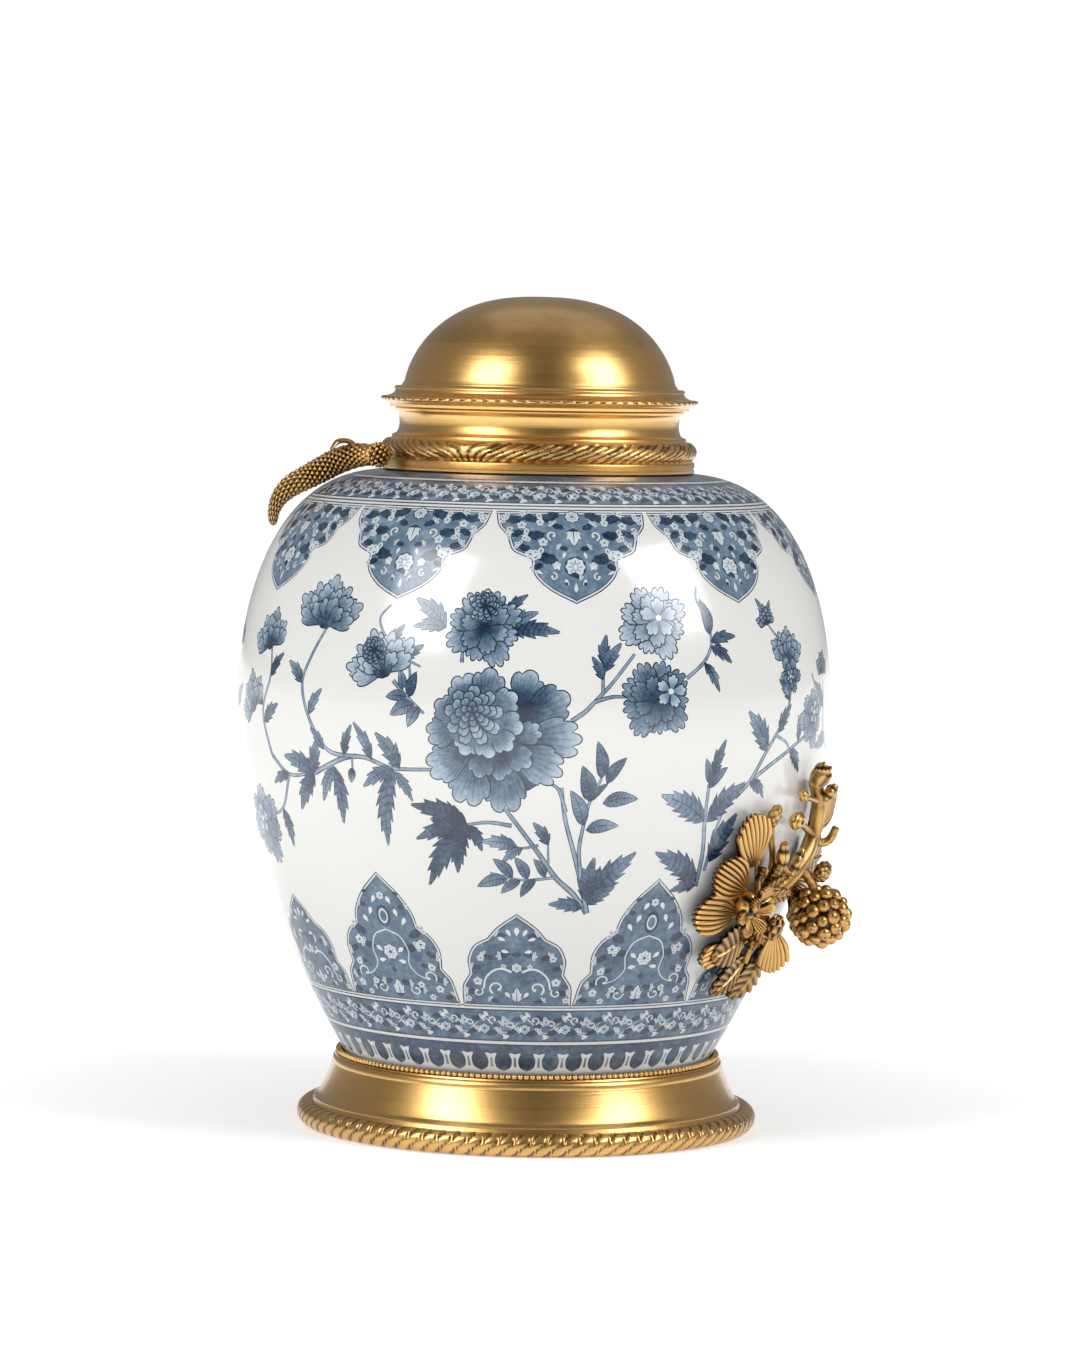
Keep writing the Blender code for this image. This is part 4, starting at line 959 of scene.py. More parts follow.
def paint_field():
    """The flowering sprays of the front."""
    for places, width in FIELD_STEMS:
        stem(places, width)
    for base, tip, width, teeth in FIELD_LEAVES:
        dark = 0.22 if base[0] < -12.0 and base[0] > -13.0 else 0.10 * math.sin(7.0 * base[0] + 3.0 * tip[0])
        leaf_to(base, tip, width, 0.07 if tip[0] < base[0] else -0.07, teeth, (0.72 + dark, 0.46 + dark))
    bud((-36, .174), (-36.6, .167))
    side_flower(spot_at(-44.5, .2370, 4), 23.0)
    side_flower(spot_at(-29.0, .2170, -22), 21.0, 5, (0.62, 0.16))
    rosette(spot_at(-31.5, .2265), 6.5, 3)
    open_flower(spot_at(-9.6, .2385, 8), 17.5, 9, 10.0, (-0.10, 0.55), 0.34, (0.90, 0.22))
    rosette(spot_at(-9.6, .2475), 6.8, 3)
    great_peony(spot_at(-11.0, .2000))
    open_flower(spot_at(23.2, .2420), 17.0, 9, 20.0, (0.15, 0.10), 0.42, (0.60, 0.12))
    open_flower(spot_at(23.2, .2080, 12), 17.5, 10, 0.0, (0.36, 0.28), 0.34, (0.90, 0.32))
    side_flower(spot_at(57.0, .2240, 6), 15.0)
    open_flower(spot_at(57.5, .2160, 30), 9.5, 7, 0.0, (0.0, 0.0), 0.30, (0.86, 0.26))
    side_flower(spot_at(51.3, .2400, -14), 8.0, 4)
    open_flower(spot_at(67.0, .1960, 8), 14.0, 8, 0.0, (0.2, 0.2), 0.32, (0.80, 0.26))
    open_flower(spot_at(-68.0, .1430, 0), 18.5, 8, 0.0, (-0.2, 0.1), 0.30, (0.80, 0.30))
    side_flower(spot_at(-61.5, .2250, -16), 18.0, 4)
    side_flower(spot_at(-67.5, .1960, -34), 18.0, 4)


def paint_back():
    """Plainer sprays of the same kind on the sides and the back."""
    for centre, flip in ((104.0, False), (180.0, True), (-108.0, False)):
        side = -1.0 if flip else 1.0

        def there(azimuth, height):
            return (centre + side * azimuth, height)

        stem([there(0, .116), there(-3, .135), there(3, .155), there(0, .180)], 1.6)
        stem([there(1, .150), there(12, .165), there(18, .185), there(15, .205)], 1.3)
        stem([there(-1, .130), there(-13, .150), there(-20, .175), there(-17, .205)], 1.3)
        stem([there(18, .185), there(26, .200), there(25, .220)], 1.1)
        stem([there(-20, .175), there(-29, .190), there(-30, .212)], 1.1)
        for base, tip, teeth in (
            ((0, .118), (9, .132), 5), ((0, .118), (-9, .124), 4), ((6, .157), (14, .148), 4),
            ((10, .161), (8, .178), 4),
            ((18, .185), (27, .180), 4), ((-7, .140), (-15, .132), 4), ((-14, .152), (-9, .165), 3),
            ((-20, .175), (-26, .162), 4), ((-18, .185), (-11, .196), 4), ((-26, .185), (-34, .182), 4),
            ((24, .196), (32, .205), 3), ((-30, .200), (-36, .212), 3), ((2, .160), (-6, .172), 4),
            ((12, .205), (4, .228), 4),
        ):
            leaf_to(there(*base), there(*tip), 0.40, 0.07, teeth, (0.64, 0.38))
        open_flower(spot_at(*there(0, .198)), 19.0, 11, 0.0, (0.1, 0.1), 0.40, (0.84, 0.16))
        open_flower(spot_at(*there(15, .222)), 12.5, 9, 10.0, (0.0, 0.2), 0.36, (0.84, 0.22))
        open_flower(spot_at(*there(-17, .221)), 13.0, 9, 20.0, (0.0, 0.1), 0.36, (0.80, 0.20))
        side_flower(spot_at(*there(25, .224)), 11.0, 4)
        side_flower(spot_at(*there(-30, .216)), 11.0, 4)


# Bands and lappets

# (azimuth, height) places of the arcs down the right half of each kind of lappet
SHOULDER_HALF = (
    ((17.6, .2890), (16.6, .2830), (14.4, .2785)), ((14.4, .2785), (12.9, .2720), (9.0, .2685)),
    ((9.0, .2685), (8.2, .2615), (5.0, .2550), (0.0, .2495)),
)
TALL_HALF = (
    ((16.3, .0672), (14.9, .0790), (12.8, .0840)),
    ((12.8, .0840), (12.9, .0920), (11.3, .0985), (8.1, .1042)),
    ((8.1, .1042), (7.3, .1100), (4.5, .1185), (0.0, .1275)),
)
SHORT_HALF = (
    ((13.4, .0672), (13.0, .0770), (11.0, .0830)), ((11.0, .0830), (11.2, .0895), (9.6, .0962), (6.4, .1000)),
    ((6.4, .1000), (4.2, .1052), (0.0, .1115)),
)


def lappet_outline(half, centre):
    """The whole outline of a lappet from the arcs of its half."""
    arc = np.concatenate([smooth_path(part, 5)[:-1] for part in half] + [np.array(half[-1][-1:])])
    mirrored = arc[-2::-1] * (-1.0, 1.0)
    whole = np.concatenate((arc, mirrored))
    whole[:, 0] += centre
    return whole


def lappet_ground(half, centre, middle_height, ground):
    """A lappet's border of dark, white and dark lines round its grey-blue ground."""
    spot = spot_at(centre, middle_height)
    outline = spot.inside(plane_points(lappet_outline(half, centre)))
    for amount, tone in ((0.0, 0.90), (0.55, 0.08), (1.30, 0.86), (1.75, ground)):
        paint(spot, inset(outline, amount), tone)


def half_spots(centre, side):
    """A function that gives the spots of a lappet's right or left half."""
    def there(azimuth, height, turn=0.0):
        return spot_at(centre + side * azimuth, height, side * turn, 1.0, side < 0.0)

    return there


def scatter(there, knots, blossoms, blossom_centre):
    """Dark lobed leaves and then small white flowers at (azimuth, height, size) places."""
    for azimuth, height, size in knots:
        knot(there(azimuth, height), size, 0.88)
    for azimuth, height, size in blossoms:
        blossom(there(azimuth, height), size, 5, None, 0.05, blossom_centre)


def white_drops(there, places, length, width, tone):
    """White drops at (azimuth, height, turn) places."""
    for azimuth, height, turn in places:
        paint(there(azimuth, height, turn), drop_outline(length, width), tone)


def shoulder_lappet(centre):
    """A pendant lappet: flower heads, scrolls and a ringed flower."""
    lappet_ground(SHOULDER_HALF, centre, 0.2720, 0.49)
    for side in (-1.0, 1.0):
        there = half_spots(centre, side)
        scatter(there, (
            (5.2, .2868, 2.7), (9.6, .2862, 2.3), (13.2, .2855, 2.5), (8.4, .2790, 2.5), (12.4, .2795, 1.9),
            (5.7, .2690, 2.8), (3.4, .2828, 1.7), (10.6, .2735, 1.8), (2.3, .2735, 1.3), (7.6, .2655, 1.5),
        ), (
            (7.3, .2845, 1.7), (11.4, .2832, 2.0), (15.0, .2862, 1.2), (6.6, .2760, 2.0), (9.9, .2772, 1.3),
            (9.3, .2708, 2.1), (3.8, .2660, 1.8),
        ), 0.62)
        curl(there(4.6, .2790), 2.6, 0.06, 0.75)
        curl(there(13.8, .2815, 60), 2.2, 0.08, 0.65)
        curl(there(7.6, .2698, -30), 2.4, 0.08, 0.65)
        curl(there(4.5, .2612, 200), 2.0, 0.08, 0.65)
        places = ((2.5, .2690, -18), (3.1, .2640, 40), (1.4, .2575, 30), (6.6, .2622, 60))
        white_drops(there, places, 3.4, 1.5, 0.07)
        paint(there(1.9, .2582), disc(0.8, count=7), 0.9)
    blossom(spot_at(centre, .2870), 2.9, 8)
    leaf(spot_at(centre, .2822, 180), 9.0, 7.4, 0.0, 3, 0.10, 0.04)
    blossom(spot_at(centre, .2655), 4.1, 8, 0.92, 0.05, 0.55)
    paint(spot_at(centre, .2655), disc(1.6, 1.35), 0.30)
    paint(spot_at(centre, .2655), disc(0.9, 1.35, 8), 0.06)
    paint(spot_at(centre, .2588, 180), drop_outline(4.6, 1.9), 0.10)
    knot(spot_at(centre, .2618), 1.3, 0.9)


def tall_lappet(centre):
    """A tall standing lappet: a crowned oval flower over a lotus in its medallion, with scrolls."""
    lappet_ground(TALL_HALF, centre, 0.0920, 0.58)
    for side in (-1.0, 1.0):
        there = half_spots(centre, side)
        scatter(there, (
            (7.3, .1000, 2.2), (5.0, .1120, 1.2), (5.6, .0930, 2.0), (10.6, .0905, 1.7), (11.6, .0790, 1.6),
            (13.7, .0712, 1.4), (8.6, .0850, 1.3), (2.5, .0765, 1.5), (6.0, .0742, 1.4), (3.8, .1180, 0.9),
        ), (
            (8.3, .0950, 2.3), (10.2, .0845, 1.8), (11.4, .0745, 1.9), (6.6, .0760, 1.7), (9.2, .0705, 1.5),
        ), 0.70)
        stroke(there(0.0, .1010), [
            (0.0, 0.0), (6.6, -3.0), (9.6, -10.0), (8.6, -17.0), (12.0, -22.0), (16.6, -24.0),
        ], 0.62, 0.10, 0.2)
        curl(there(9.2, .0800, -40), 3.6, 0.08, 0.75)
        curl(there(5.0, .0735, 120), 3.0, 0.08, 0.70)
        places = ((3.6, .1072, -20), (4.4, .1035, 30), (2.4, .1130, -30), (2.0, .0905, 50), (1.6, .0868, 100))
        white_drops(there, places, 4.2, 2.1, 0.05)
    blossom(spot_at(centre, .1165), 1.9, 6, 0.86)
    paint(spot_at(centre, .1072), disc(3.6, 1.5, 16), 0.90)
    paint(spot_at(centre, .1072), disc(2.5, 1.5, 14), 0.10)
    paint(spot_at(centre, .1072), disc(1.8, 1.5, 12), 0.58)
    blossom(spot_at(centre, .0905), 3.4, 7, 0.60, 0.04, 0.65)
    paint(spot_at(centre, .0842, 180), drop_outline(4.0, 2.6), 0.88)
    leaf(spot_at(centre, .0695), 9.0, 6.4, 0.0, 3, 0.12, 0.05)


def short_lappet(centre):
    """A short standing lappet: a shell over a cloud scroll between two spirals."""
    lappet_ground(SHORT_HALF, centre, 0.0850, 0.60)
    for side in (-1.0, 1.0):
        there = half_spots(centre, side)
        scatter(there, (
            (3.4, .1015, 1.3), (6.6, .0910, 1.5), (9.3, .0860, 1.3), (10.8, .0745, 1.5), (2.6, .0925, 1.6),
            (5.4, .0705, 1.2),
        ), ((8.2, .0905, 1.6), (9.2, .0795, 2.0), (11.9, .0710, 1.5), (3.0, .0868, 1.2)), 0.70)
        path = [(0.0, 0.0), (4.0, 1.6), (8.0, 0.6), (11.6, -3.4), (12.6, -9.0)]
        stroke(there(1.2, .0842), path, 1.1, 0.06, 0.3)
        curl(there(4.6, .0765, -20), 3.9, 0.07, 0.85)
        curl(there(9.4, .0745, 150), 2.6, 0.08, 0.70)
        places = ((1.3, .1010, 30), (2.4, .0990, 70), (1.6, .0935, 80), (1.5, .0720, 40))
        white_drops(there, places, 3.8, 1.8, 0.05)
    paint(spot_at(centre, .1010), drop_outline(4.6, 2.4), 0.05)
    paint(spot_at(centre, .0925), disc(2.2, 0.6, 12), 0.90)
    blossom(spot_at(centre, .0862), 2.2, 6, 0.86)
    leaf(spot_at(centre, .0695), 8.0, 5.4, 0.0, 3, 0.12, 0.05)


def scroll_band(low, high, count, offset, dark):
    """Running scrolls, leaves and flower heads between two heights."""
    pitch = 360.0 / count
    middle = 0.5 * (low + high)
    room = (float(length_at(high)) - float(length_at(low))) / MM
    for index in range(count):
        centre = offset + pitch * index
        width = float(radius_at(length_at(middle))) * math.radians(pitch) / MM
        base = spot_at(centre, middle)
        flip = index % 2 == 1
        stroke(base, [
            (-0.50 * width, 0.0), (-0.25 * width, 0.26 * room), (0.0, 0.0), (0.25 * width, -0.26 * room),
            (0.5 * width, 0.0),
        ], 0.50, 0.16, 0.0)
        blossom(base.at(-0.25 * width, -0.12 * room), 0.16 * room, 6, dark, 0.16, 0.7)
        blossom(base.at(0.27 * width, 0.14 * room), 0.12 * room, 5, None, 0.18, 0.7)
        for right, up, size in (
            (-0.44, 0.22, 0.10), (-0.06, -0.26, 0.11), (0.10, 0.26, 0.09), (0.42, -0.22, 0.10),
            (0.06, 0.02, 0.08),
        ):
            knot(base.at(right * width, up * room), size * room, dark)
        curl(base.at(-0.02 * width, 0.20 * room), 0.15 * room, 0.07, 0.6, flip)
        curl(base.at(0.40 * width, 0.06 * room, 90), 0.14 * room, 0.07, 0.6, not flip)
        for right, up, turn in (
            (-0.36, 0.24, 60), (-0.12, 0.30, -40), (0.16, -0.30, 120), (0.36, -0.34, 240), (-0.40, -0.28, 20),
        ):
            paint(base.at(right * width, up * room, turn), drop_outline(0.24 * room, 0.11 * room), 0.07)


# low height, high height and ink depth of each band
BANDS = (
    (0.0340, 0.0362, 0.10), (0.0362, 0.0488, 0.74), (0.0488, 0.0496, 0.88), (0.0496, 0.0509, 0.03),
    (0.0509, 0.0516, 0.80), (0.0516, 0.0656, 0.58), (0.0656, 0.0663, 0.84), (0.0663, 0.0676, 0.03),
    (0.0676, 0.0681, 0.80),
    (0.2896, 0.2901, 0.84), (0.2901, 0.2910, 0.03), (0.2910, 0.2916, 0.70), (0.2916, 0.2923, 0.03),
    (0.2923, 0.2928, 0.84), (0.2928, 0.3006, 0.56), (0.3006, 0.3011, 0.84), (0.3011, 0.3017, 0.03),
    (0.3017, 0.3043, 0.62),
)
TONGUE_COUNT = 53
TONGUE_HEIGHT = 0.0358
TONGUE_HALF = (
    (5.2, 0.0), (5.0, 0.9), (3.4, 1.6), (2.0, 2.9), (1.45, 5.2), (1.5, 7.6), (2.3, 9.4), (2.7, 10.6),
    (1.9, 10.9), (0.0, 10.2),
)


def paint_bands():
    """The shoulder's and the foot's ornament."""
    for index in range(10):
        shoulder_lappet(8.0 + 36.0 * index)
    for index in range(6):
        tall_lappet(27.0 + 60.0 * index)
        short_lappet(-2.7 + 60.0 * index)
    scroll_band(0.2930, 0.3004, 42, 3.0, 0.90)
    scroll_band(0.0518, 0.0654, 34, 2.0, 0.86)
    whole = TONGUE_HALF + tuple((-right, up) for right, up in TONGUE_HALF[-2::-1])
    for index in range(TONGUE_COUNT):
        base = spot_at(360.0 * (index + 0.5) / TONGUE_COUNT, TONGUE_HEIGHT)
        paint(base, inset(np.array(whole), -0.35), 0.92)
        paint(base, whole, 0.05)
        paint(base, [(-0.62, 3.0), (0.62, 3.0), (0.5, 8.4), (-0.5, 8.4)], 0.46)


# The painted skin as meshes

SHEET_ROWS = 3
SHEET_MARGIN = 0.004


def closer(outline, step):
    """The closed outline with its long edges divided."""
    after = np.roll(outline, -1, axis=0)
    size = np.hypot(*(after - outline).T)
    out = []
    for start, end, length in zip(outline, after, size):
        count = max(1, math.ceil(length / step))
        out.append(start + (end - start) * (np.arange(count) / count)[:, None])
    return np.concatenate(out)


def fewer(outline):
    """The closed outline without the corners that lie almost on the line between their neighbours."""
    for parity in (0, 1, 0):
        if len(outline) < 8:
            break
        before, after = np.roll(outline, 1, axis=0), np.roll(outline, -1, axis=0)
        run, reach = after - before, outline - before
        off = np.abs(run[:, 0] * reach[:, 1] - run[:, 1] * reach[:, 0]) / np.maximum(np.hypot(*run.T), 1e-9)
        kept = off > OUTLINE_SLACK
        kept[parity::2] = True
        outline = outline[kept]
    return outline


def holds(outline, across, length):
    """Which of the points the closed outline holds."""
    start, end = outline, np.roll(outline, -1, axis=0)
    rise = end[:, 1] - start[:, 1]
    rise = np.where(rise == 0.0, 1e-12, rise)
    over = (start[:, 1] > length[:, None]) != (end[:, 1] > length[:, None])
    crossing = start[:, 0] + (length[:, None] - start[:, 1]) * (end[:, 0] - start[:, 0]) / rise
    return np.count_nonzero(over & (across[:, None] < crossing), axis=1) % 2 == 1


def skin_triangles(shapes):
    """Triangles over the unrolled skin whose edges follow every shape and band."""
    points, edges = [], []
    total = 0
    for outline, *_ in shapes:
        ring = closer(outline, EDGE_STEP)
        index = np.arange(len(ring)) + total
        points.append(ring)
        edges.append(np.stack((index, np.roll(index, -1)), axis=1))
        total += len(ring)
    heights = sorted({height for low, high, _ in BANDS for height in (low, high)})
    rings = [float(length_at(height)) for height in heights[1:-1]]
    across = np.linspace(-SKIN_HALF, SKIN_HALF, 2 * int(SKIN_HALF / EDGE_STEP) + 1)
    for length in [PAINT_LOW, FIELD_LOW, FIELD_HIGH, PAINT_HIGH] + rings:
        index = np.arange(len(across)) + total
        points.append(np.stack((across, np.full(len(across), length)), axis=1))
        edges.append(np.stack((index[:-1], index[1:]), axis=1))
        total += len(across)
    up = np.linspace(PAINT_LOW, PAINT_HIGH, 180)
    for place in (-SKIN_HALF, -SKIN_HALF / 3.0, SKIN_HALF / 3.0, SKIN_HALF):
        index = np.arange(len(up)) + total
        points.append(np.stack((np.full(len(up), place), up), axis=1))
        edges.append(np.stack((index[:-1], index[1:]), axis=1))
        total += len(up)
    fixed = np.concatenate(points)
    taken = {tuple(cell) for cell in np.round(fixed / MM).astype(int).tolist()}
    rows = np.arange(PAINT_LOW + 0.5 * GRID_STEP, PAINT_HIGH, GRID_STEP)
    columns = np.arange(-SKIN_HALF + 0.5 * GRID_STEP, SKIN_HALF, GRID_STEP)
    grid = np.stack(np.meshgrid(columns, rows), axis=-1)
    grid[1::2, :, 0] += 0.5 * GRID_STEP
    grid = grid.reshape(-1, 2)
    cells = np.round(grid / MM).astype(int).tolist()
    free = [cell for cell, (column, row) in zip(grid.tolist(), cells) if (column, row) not in taken]
    everything = (np.concatenate((fixed, free)) / MM).tolist()
    lines = np.concatenate(edges).tolist()
    vertices, _, faces, *_ = delaunay_2d_cdt(everything, lines, [], 0, 1e-3, False)
    plane = np.array([tuple(vertex) for vertex in vertices]) * MM
    faces = np.array(faces)
    centre = plane[faces].mean(axis=1)
    low, high = (-SKIN_HALF, PAINT_LOW), (SKIN_HALF, PAINT_HIGH)
    return plane, faces[np.all((centre > low) & (centre < high), axis=1)]


def owned_tones(shapes, plane, faces):
    """Ink depth, vein place and vein strength at every corner of every triangle."""
    centre = plane[faces].mean(axis=1)
    order = np.argsort(centre[:, 0])
    across = centre[order, 0]
    owner = np.full(len(faces), -1)
    for number, (outline, *_) in enumerate(shapes):
        low, high = outline.min(axis=0), outline.max(axis=0)
        near = order[np.searchsorted(across, low[0]):np.searchsorted(across, high[0])]
        near = near[(centre[near, 1] > low[1]) & (centre[near, 1] < high[1])]
        owner[near[holds(outline, centre[near, 0], centre[near, 1])]] = number
    paint_values = np.zeros((len(faces), 3, 3))
    for low, high, tone in BANDS:
        banded = (centre[:, 1] > length_at(low)) & (centre[:, 1] < length_at(high))
        paint_values[banded, :, 0] = tone
    order = np.argsort(owner, kind="stable")
    starts = np.searchsorted(owner[order], np.arange(len(shapes) + 1))
    for number, (outline, spot, base, tip, kind, veins, strength, reach) in enumerate(shapes):
        mine = order[starts[number]:starts[number + 1]]
        if not len(mine):
            continue
        values = np.zeros((len(mine) * 3, 3))
        values[:, 0] = base
        if kind != "flat":
            side, along = spot.inside(plane[faces[mine]].reshape(-1, 2)).T / reach
            share = np.clip(np.hypot(side, along) if kind == "petal" else along, 0.0, 1.0)
            share = share * share * (3.0 - 2.0 * share) if kind == "leaf" else share ** 1.15
            values[:, 0] = base + (tip - base) * share
            turn = np.arctan2(side, along) / math.pi
            values[:, 1] = 50.0 + (turn if kind == "petal" else along - 0.7 * np.abs(side)) * veins
            values[:, 2] = strength * (1.0 - 0.7 * share)
        paint_values[mine] = values.reshape(-1, 3, 3)
    return centre, paint_values


def build_painted_skin():
    """The painted skin as three pieces, one above another."""
    turns = []
    for outline, spot, *rest in SHAPES:
        outline = fewer(outline)
        turns.append((outline, spot, *rest))
        for side in (-1.0, 1.0):
            if np.any(outline[:, 0] * side > SKIN_HALF):
                moved = Spot(
                    math.degrees(spot.azimuth) - 360.0 * side, spot.length, spot.turn, spot.size, spot.flip,
                )
                turns.append((outline - (2.0 * SKIN_HALF * side, 0.0), moved, *rest))
    plane, faces = skin_triangles(turns)
    centre, values = owned_tones(turns, plane, faces)
    points, normals = skin_points(plane)
    zones = (
        ("porcelain_lower", PAINT_LOW, FIELD_LOW), ("porcelain_field", FIELD_LOW, FIELD_HIGH),
        ("porcelain_shoulder", FIELD_HIGH, PAINT_HIGH),
    )
    for name, low, high in zones:
        mine = (centre[:, 1] > low) & (centre[:, 1] < high)
        keys, place = np.unique(np.round(points[faces[mine]].reshape(-1, 3), 7), axis=0, return_inverse=True)
        used = np.zeros(len(keys), int)
        used[place.ravel()] = faces[mine].ravel()
        corners = place.reshape(-1, 3)
        whole = np.all(corners != np.roll(corners, 1, axis=1), axis=1)
        corners = corners[whole]
        mesh = bpy.data.meshes.new(name)
        mesh.from_pydata(points[used].tolist(), [], corners.tolist())
        tones = values[mine][whole].reshape(-1, 3)
        layer = mesh.attributes.new("paint", "FLOAT_VECTOR", "CORNER")
        layer.data.foreach_set("vector", tones.astype(np.float32).ravel())
        row = np.floor((centre[mine][whole][:, 0] + SKIN_HALF) / (2.0 * SKIN_HALF) * SHEET_ROWS)
        row = np.clip(row, 0, SHEET_ROWS - 1)
        spread = plane[faces[mine][whole]].reshape(-1, 2)
        row = np.repeat(row, 3)
        sheet = np.stack((
            (spread[:, 0] + SKIN_HALF) / (2.0 * SKIN_HALF) * SHEET_ROWS - row,
            (row + 0.01 + 0.98 * (spread[:, 1] - low) / (high - low)) / SHEET_ROWS,
        ), axis=1)
        sheet[:, 0] = SHEET_MARGIN + (1.0 - 2.0 * SHEET_MARGIN) * sheet[:, 0]
        mesh.uv_layers.new(name="OFBake").data.foreach_set("uv", sheet.astype(np.float32).ravel())
        mesh.shade_smooth()
        mesh.normals_split_custom_set_from_vertices(normals[used].tolist())
        place_piece(name, mesh, PORCELAIN, ["porcelain_jar"])


def build_bare_porcelain():
    """The unpainted parts: neck, inside, floor, foot ring and the foot inside the socle."""
    def skin_part(low, high, count):
        length = np.linspace(low, high, count)
        return list(zip(radius_at(length).tolist(), height_at(length).tolist()))

    def wall_inside(count):
        section = []
        for length in np.linspace(SKIN_LENGTH[-1], float(length_at(INSIDE_FOOT_HEIGHT)), count):
            point, normal = skin_points(np.array([(0.0, length)]))
            section.append((-point[0, 1] + JAR_WALL * normal[0, 1], point[0, 2] - JAR_WALL * normal[0, 2]))
        return [corner for corner in section if corner[0] < BELLY_RADIUS]

    bore = NECK_RADIUS - JAR_WALL
    sole = FOOT_HEIGHT + FOOT_RECESS
    ring = FOOT_RADIUS - FOOT_RING_WIDTH
    section = [(NECK_RADIUS, NECK_TOP - JAR_BEVEL), (NECK_RADIUS - JAR_BEVEL, NECK_TOP)]
    section += [(bore + JAR_BEVEL, NECK_TOP), (bore, NECK_TOP - JAR_BEVEL), (bore, BORE_FOOT_HEIGHT)]
    section += [corner for corner in wall_inside(45) if corner[0] > bore]
    section += [INSIDE_HEEL, (INSIDE_FLOOR_RADIUS, sole + JAR_FLOOR), (0.0, sole + JAR_FLOOR), (0.0, sole)]
    section += [(ring - JAR_BEVEL, sole), (ring, FOOT_HEIGHT), (FOOT_RADIUS, FOOT_HEIGHT)]
    section += skin_part(0.0005, PAINT_LOW, 24)
    outer = [(NECK_RADIUS, SHOULDER_HEIGHT)] + skin_part(SKIN_LENGTH[-1] - 0.0006, PAINT_HIGH, 8)
    body = open_turned(section[::-1], ROUND_SIDES)
    top = open_turned(outer[::-1] + [(NECK_RADIUS, NECK_TOP - JAR_BEVEL)], ROUND_SIDES)
    make_piece("porcelain_bare", [body, top], PORCELAIN, ["porcelain_jar"])


def open_turned(profile, sides):
    """A turned sheet from (radius, height) points, whose outer side is on the right going up."""
    profile = np.asarray(profile, float)
    azimuth = np.arange(sides) * 360.0 / sides
    points = polar(azimuth[None, :], profile[:, 0][:, None], profile[:, 1][:, None]).reshape(-1, 3)
    return Form(points, grid_faces(len(profile), sides))


paint_back()
paint_field()
paint_bands()
build_painted_skin()
build_bare_porcelain()


# Cast mounts over the skin

GOLDEN_TURN = 2.399963


def over_skin(azimuth, height, right, up, lift):
    """Points from a place on the skin, moved right, up and off the skin in metres; arrays work."""
    def radius_slope(level):
        above = np.interp(level + SLOPE_STEP, SKIN_HEIGHT, SKIN_RADIUS)
        below = np.interp(level - SLOPE_STEP, SKIN_HEIGHT, SKIN_RADIUS)
        return np.interp(level, SKIN_HEIGHT, SKIN_RADIUS), (above - below) / (2.0 * SLOPE_STEP)

    _, slope = radius_slope(height)
    height = height + up / np.hypot(1.0, slope)
    radius, slope = radius_slope(height)
    azimuth = azimuth + np.degrees(right / radius)
    facing = 1.0 / np.hypot(1.0, slope)
    return polar(azimuth, radius + lift * facing, height - lift * slope * facing)


def skin_axes(azimuth, height, lift, turn=0.0, tip=0.0):
    """Origin and axes over the skin: X right, Y up, Z out; turn is clockwise, tip leans Y outwards."""
    here = over_skin(azimuth, height, 0.0, 0.0, lift)
    right = over_skin(azimuth, height, 0.001, 0.0, lift) - here
    up = over_skin(azimuth, height, 0.0, 0.001, lift) - here
    right, up = right / np.linalg.norm(right), up / np.linalg.norm(up)
    axes = Matrix(np.stack((right, up, np.cross(right, up)), axis=1).tolist())
    spin = Matrix.Rotation(math.radians(-turn), 3, "Z") @ Matrix.Rotation(math.radians(tip), 3, "X")
    return here, np.array(axes @ spin)


def swept_form(path, radii, sides, relief, flat=(1.0, None), shade_scale=1.0):
    """A round body along a path; relief(turn share, way share) sinks its surface by a share of its radius."""
    run = np.gradient(path, axis=0)
    run /= np.linalg.norm(run, axis=1)[:, None]
    side = np.cross(run[0], (0.3, 0.2, 1.0))
    side /= np.linalg.norm(side)
    rows = []
    sunk_rows = []
    turn = np.arange(sides) / sides
    angle = 2 * math.pi * turn
    way = np.linspace(0.0, 1.0, len(path))
    for place, heading, radius, share in zip(path, run, radii, way):
        side = side - heading * np.dot(side, heading)
        side /= np.linalg.norm(side)
        other = np.cross(heading, side)
        sunk = relief(turn, share)
        reach = (radius * (1.0 - sunk))[:, None]
        ring = reach * (np.cos(angle)[:, None] * side + np.sin(angle)[:, None] * other)
        if flat[1] is not None:
            ring = ring + (flat[0] - 1.0) * (ring @ flat[1])[:, None] * flat[1]
        rows.append(place + ring)
        sunk_rows.append(sunk)
    points = np.concatenate(rows)
    faces = grid_faces(len(path), sides)
    faces.append(list(range(sides))[::-1])
    faces.append(list(range((len(path) - 1) * sides, len(path) * sides)))
    # The sunk relief becomes painted shade, darkest in the grooves.
    return Form(points, faces, np.clip(np.concatenate(sunk_rows) * shade_scale, 0.0, 1.0))


def spread_directions(count):
    """Directions spread evenly over a ball."""
    for index in range(count):
        rise = 1.0 - 2.0 * (index + 0.5) / count
        level = math.sqrt(1 - rise * rise)
        turn = GOLDEN_TURN * index
        yield np.array((level * math.cos(turn), level * math.sin(turn), rise))


def fine_path(points, step):
    """A smooth path through the points in steps of about the same length."""
    path = smooth_path(points, 12)
    length = np.concatenate(((0.0,), np.cumsum(np.linalg.norm(np.diff(path, axis=0), axis=1))))
    count = max(4, int(length[-1] / step))
    even = np.linspace(0.0, length[-1], count)
    return np.stack([np.interp(even, length, path[:, axis]) for axis in range(3)], axis=1)


# Garland

GARLAND_THICKNESS = 0.0124
GARLAND_FLATNESS = 1.21
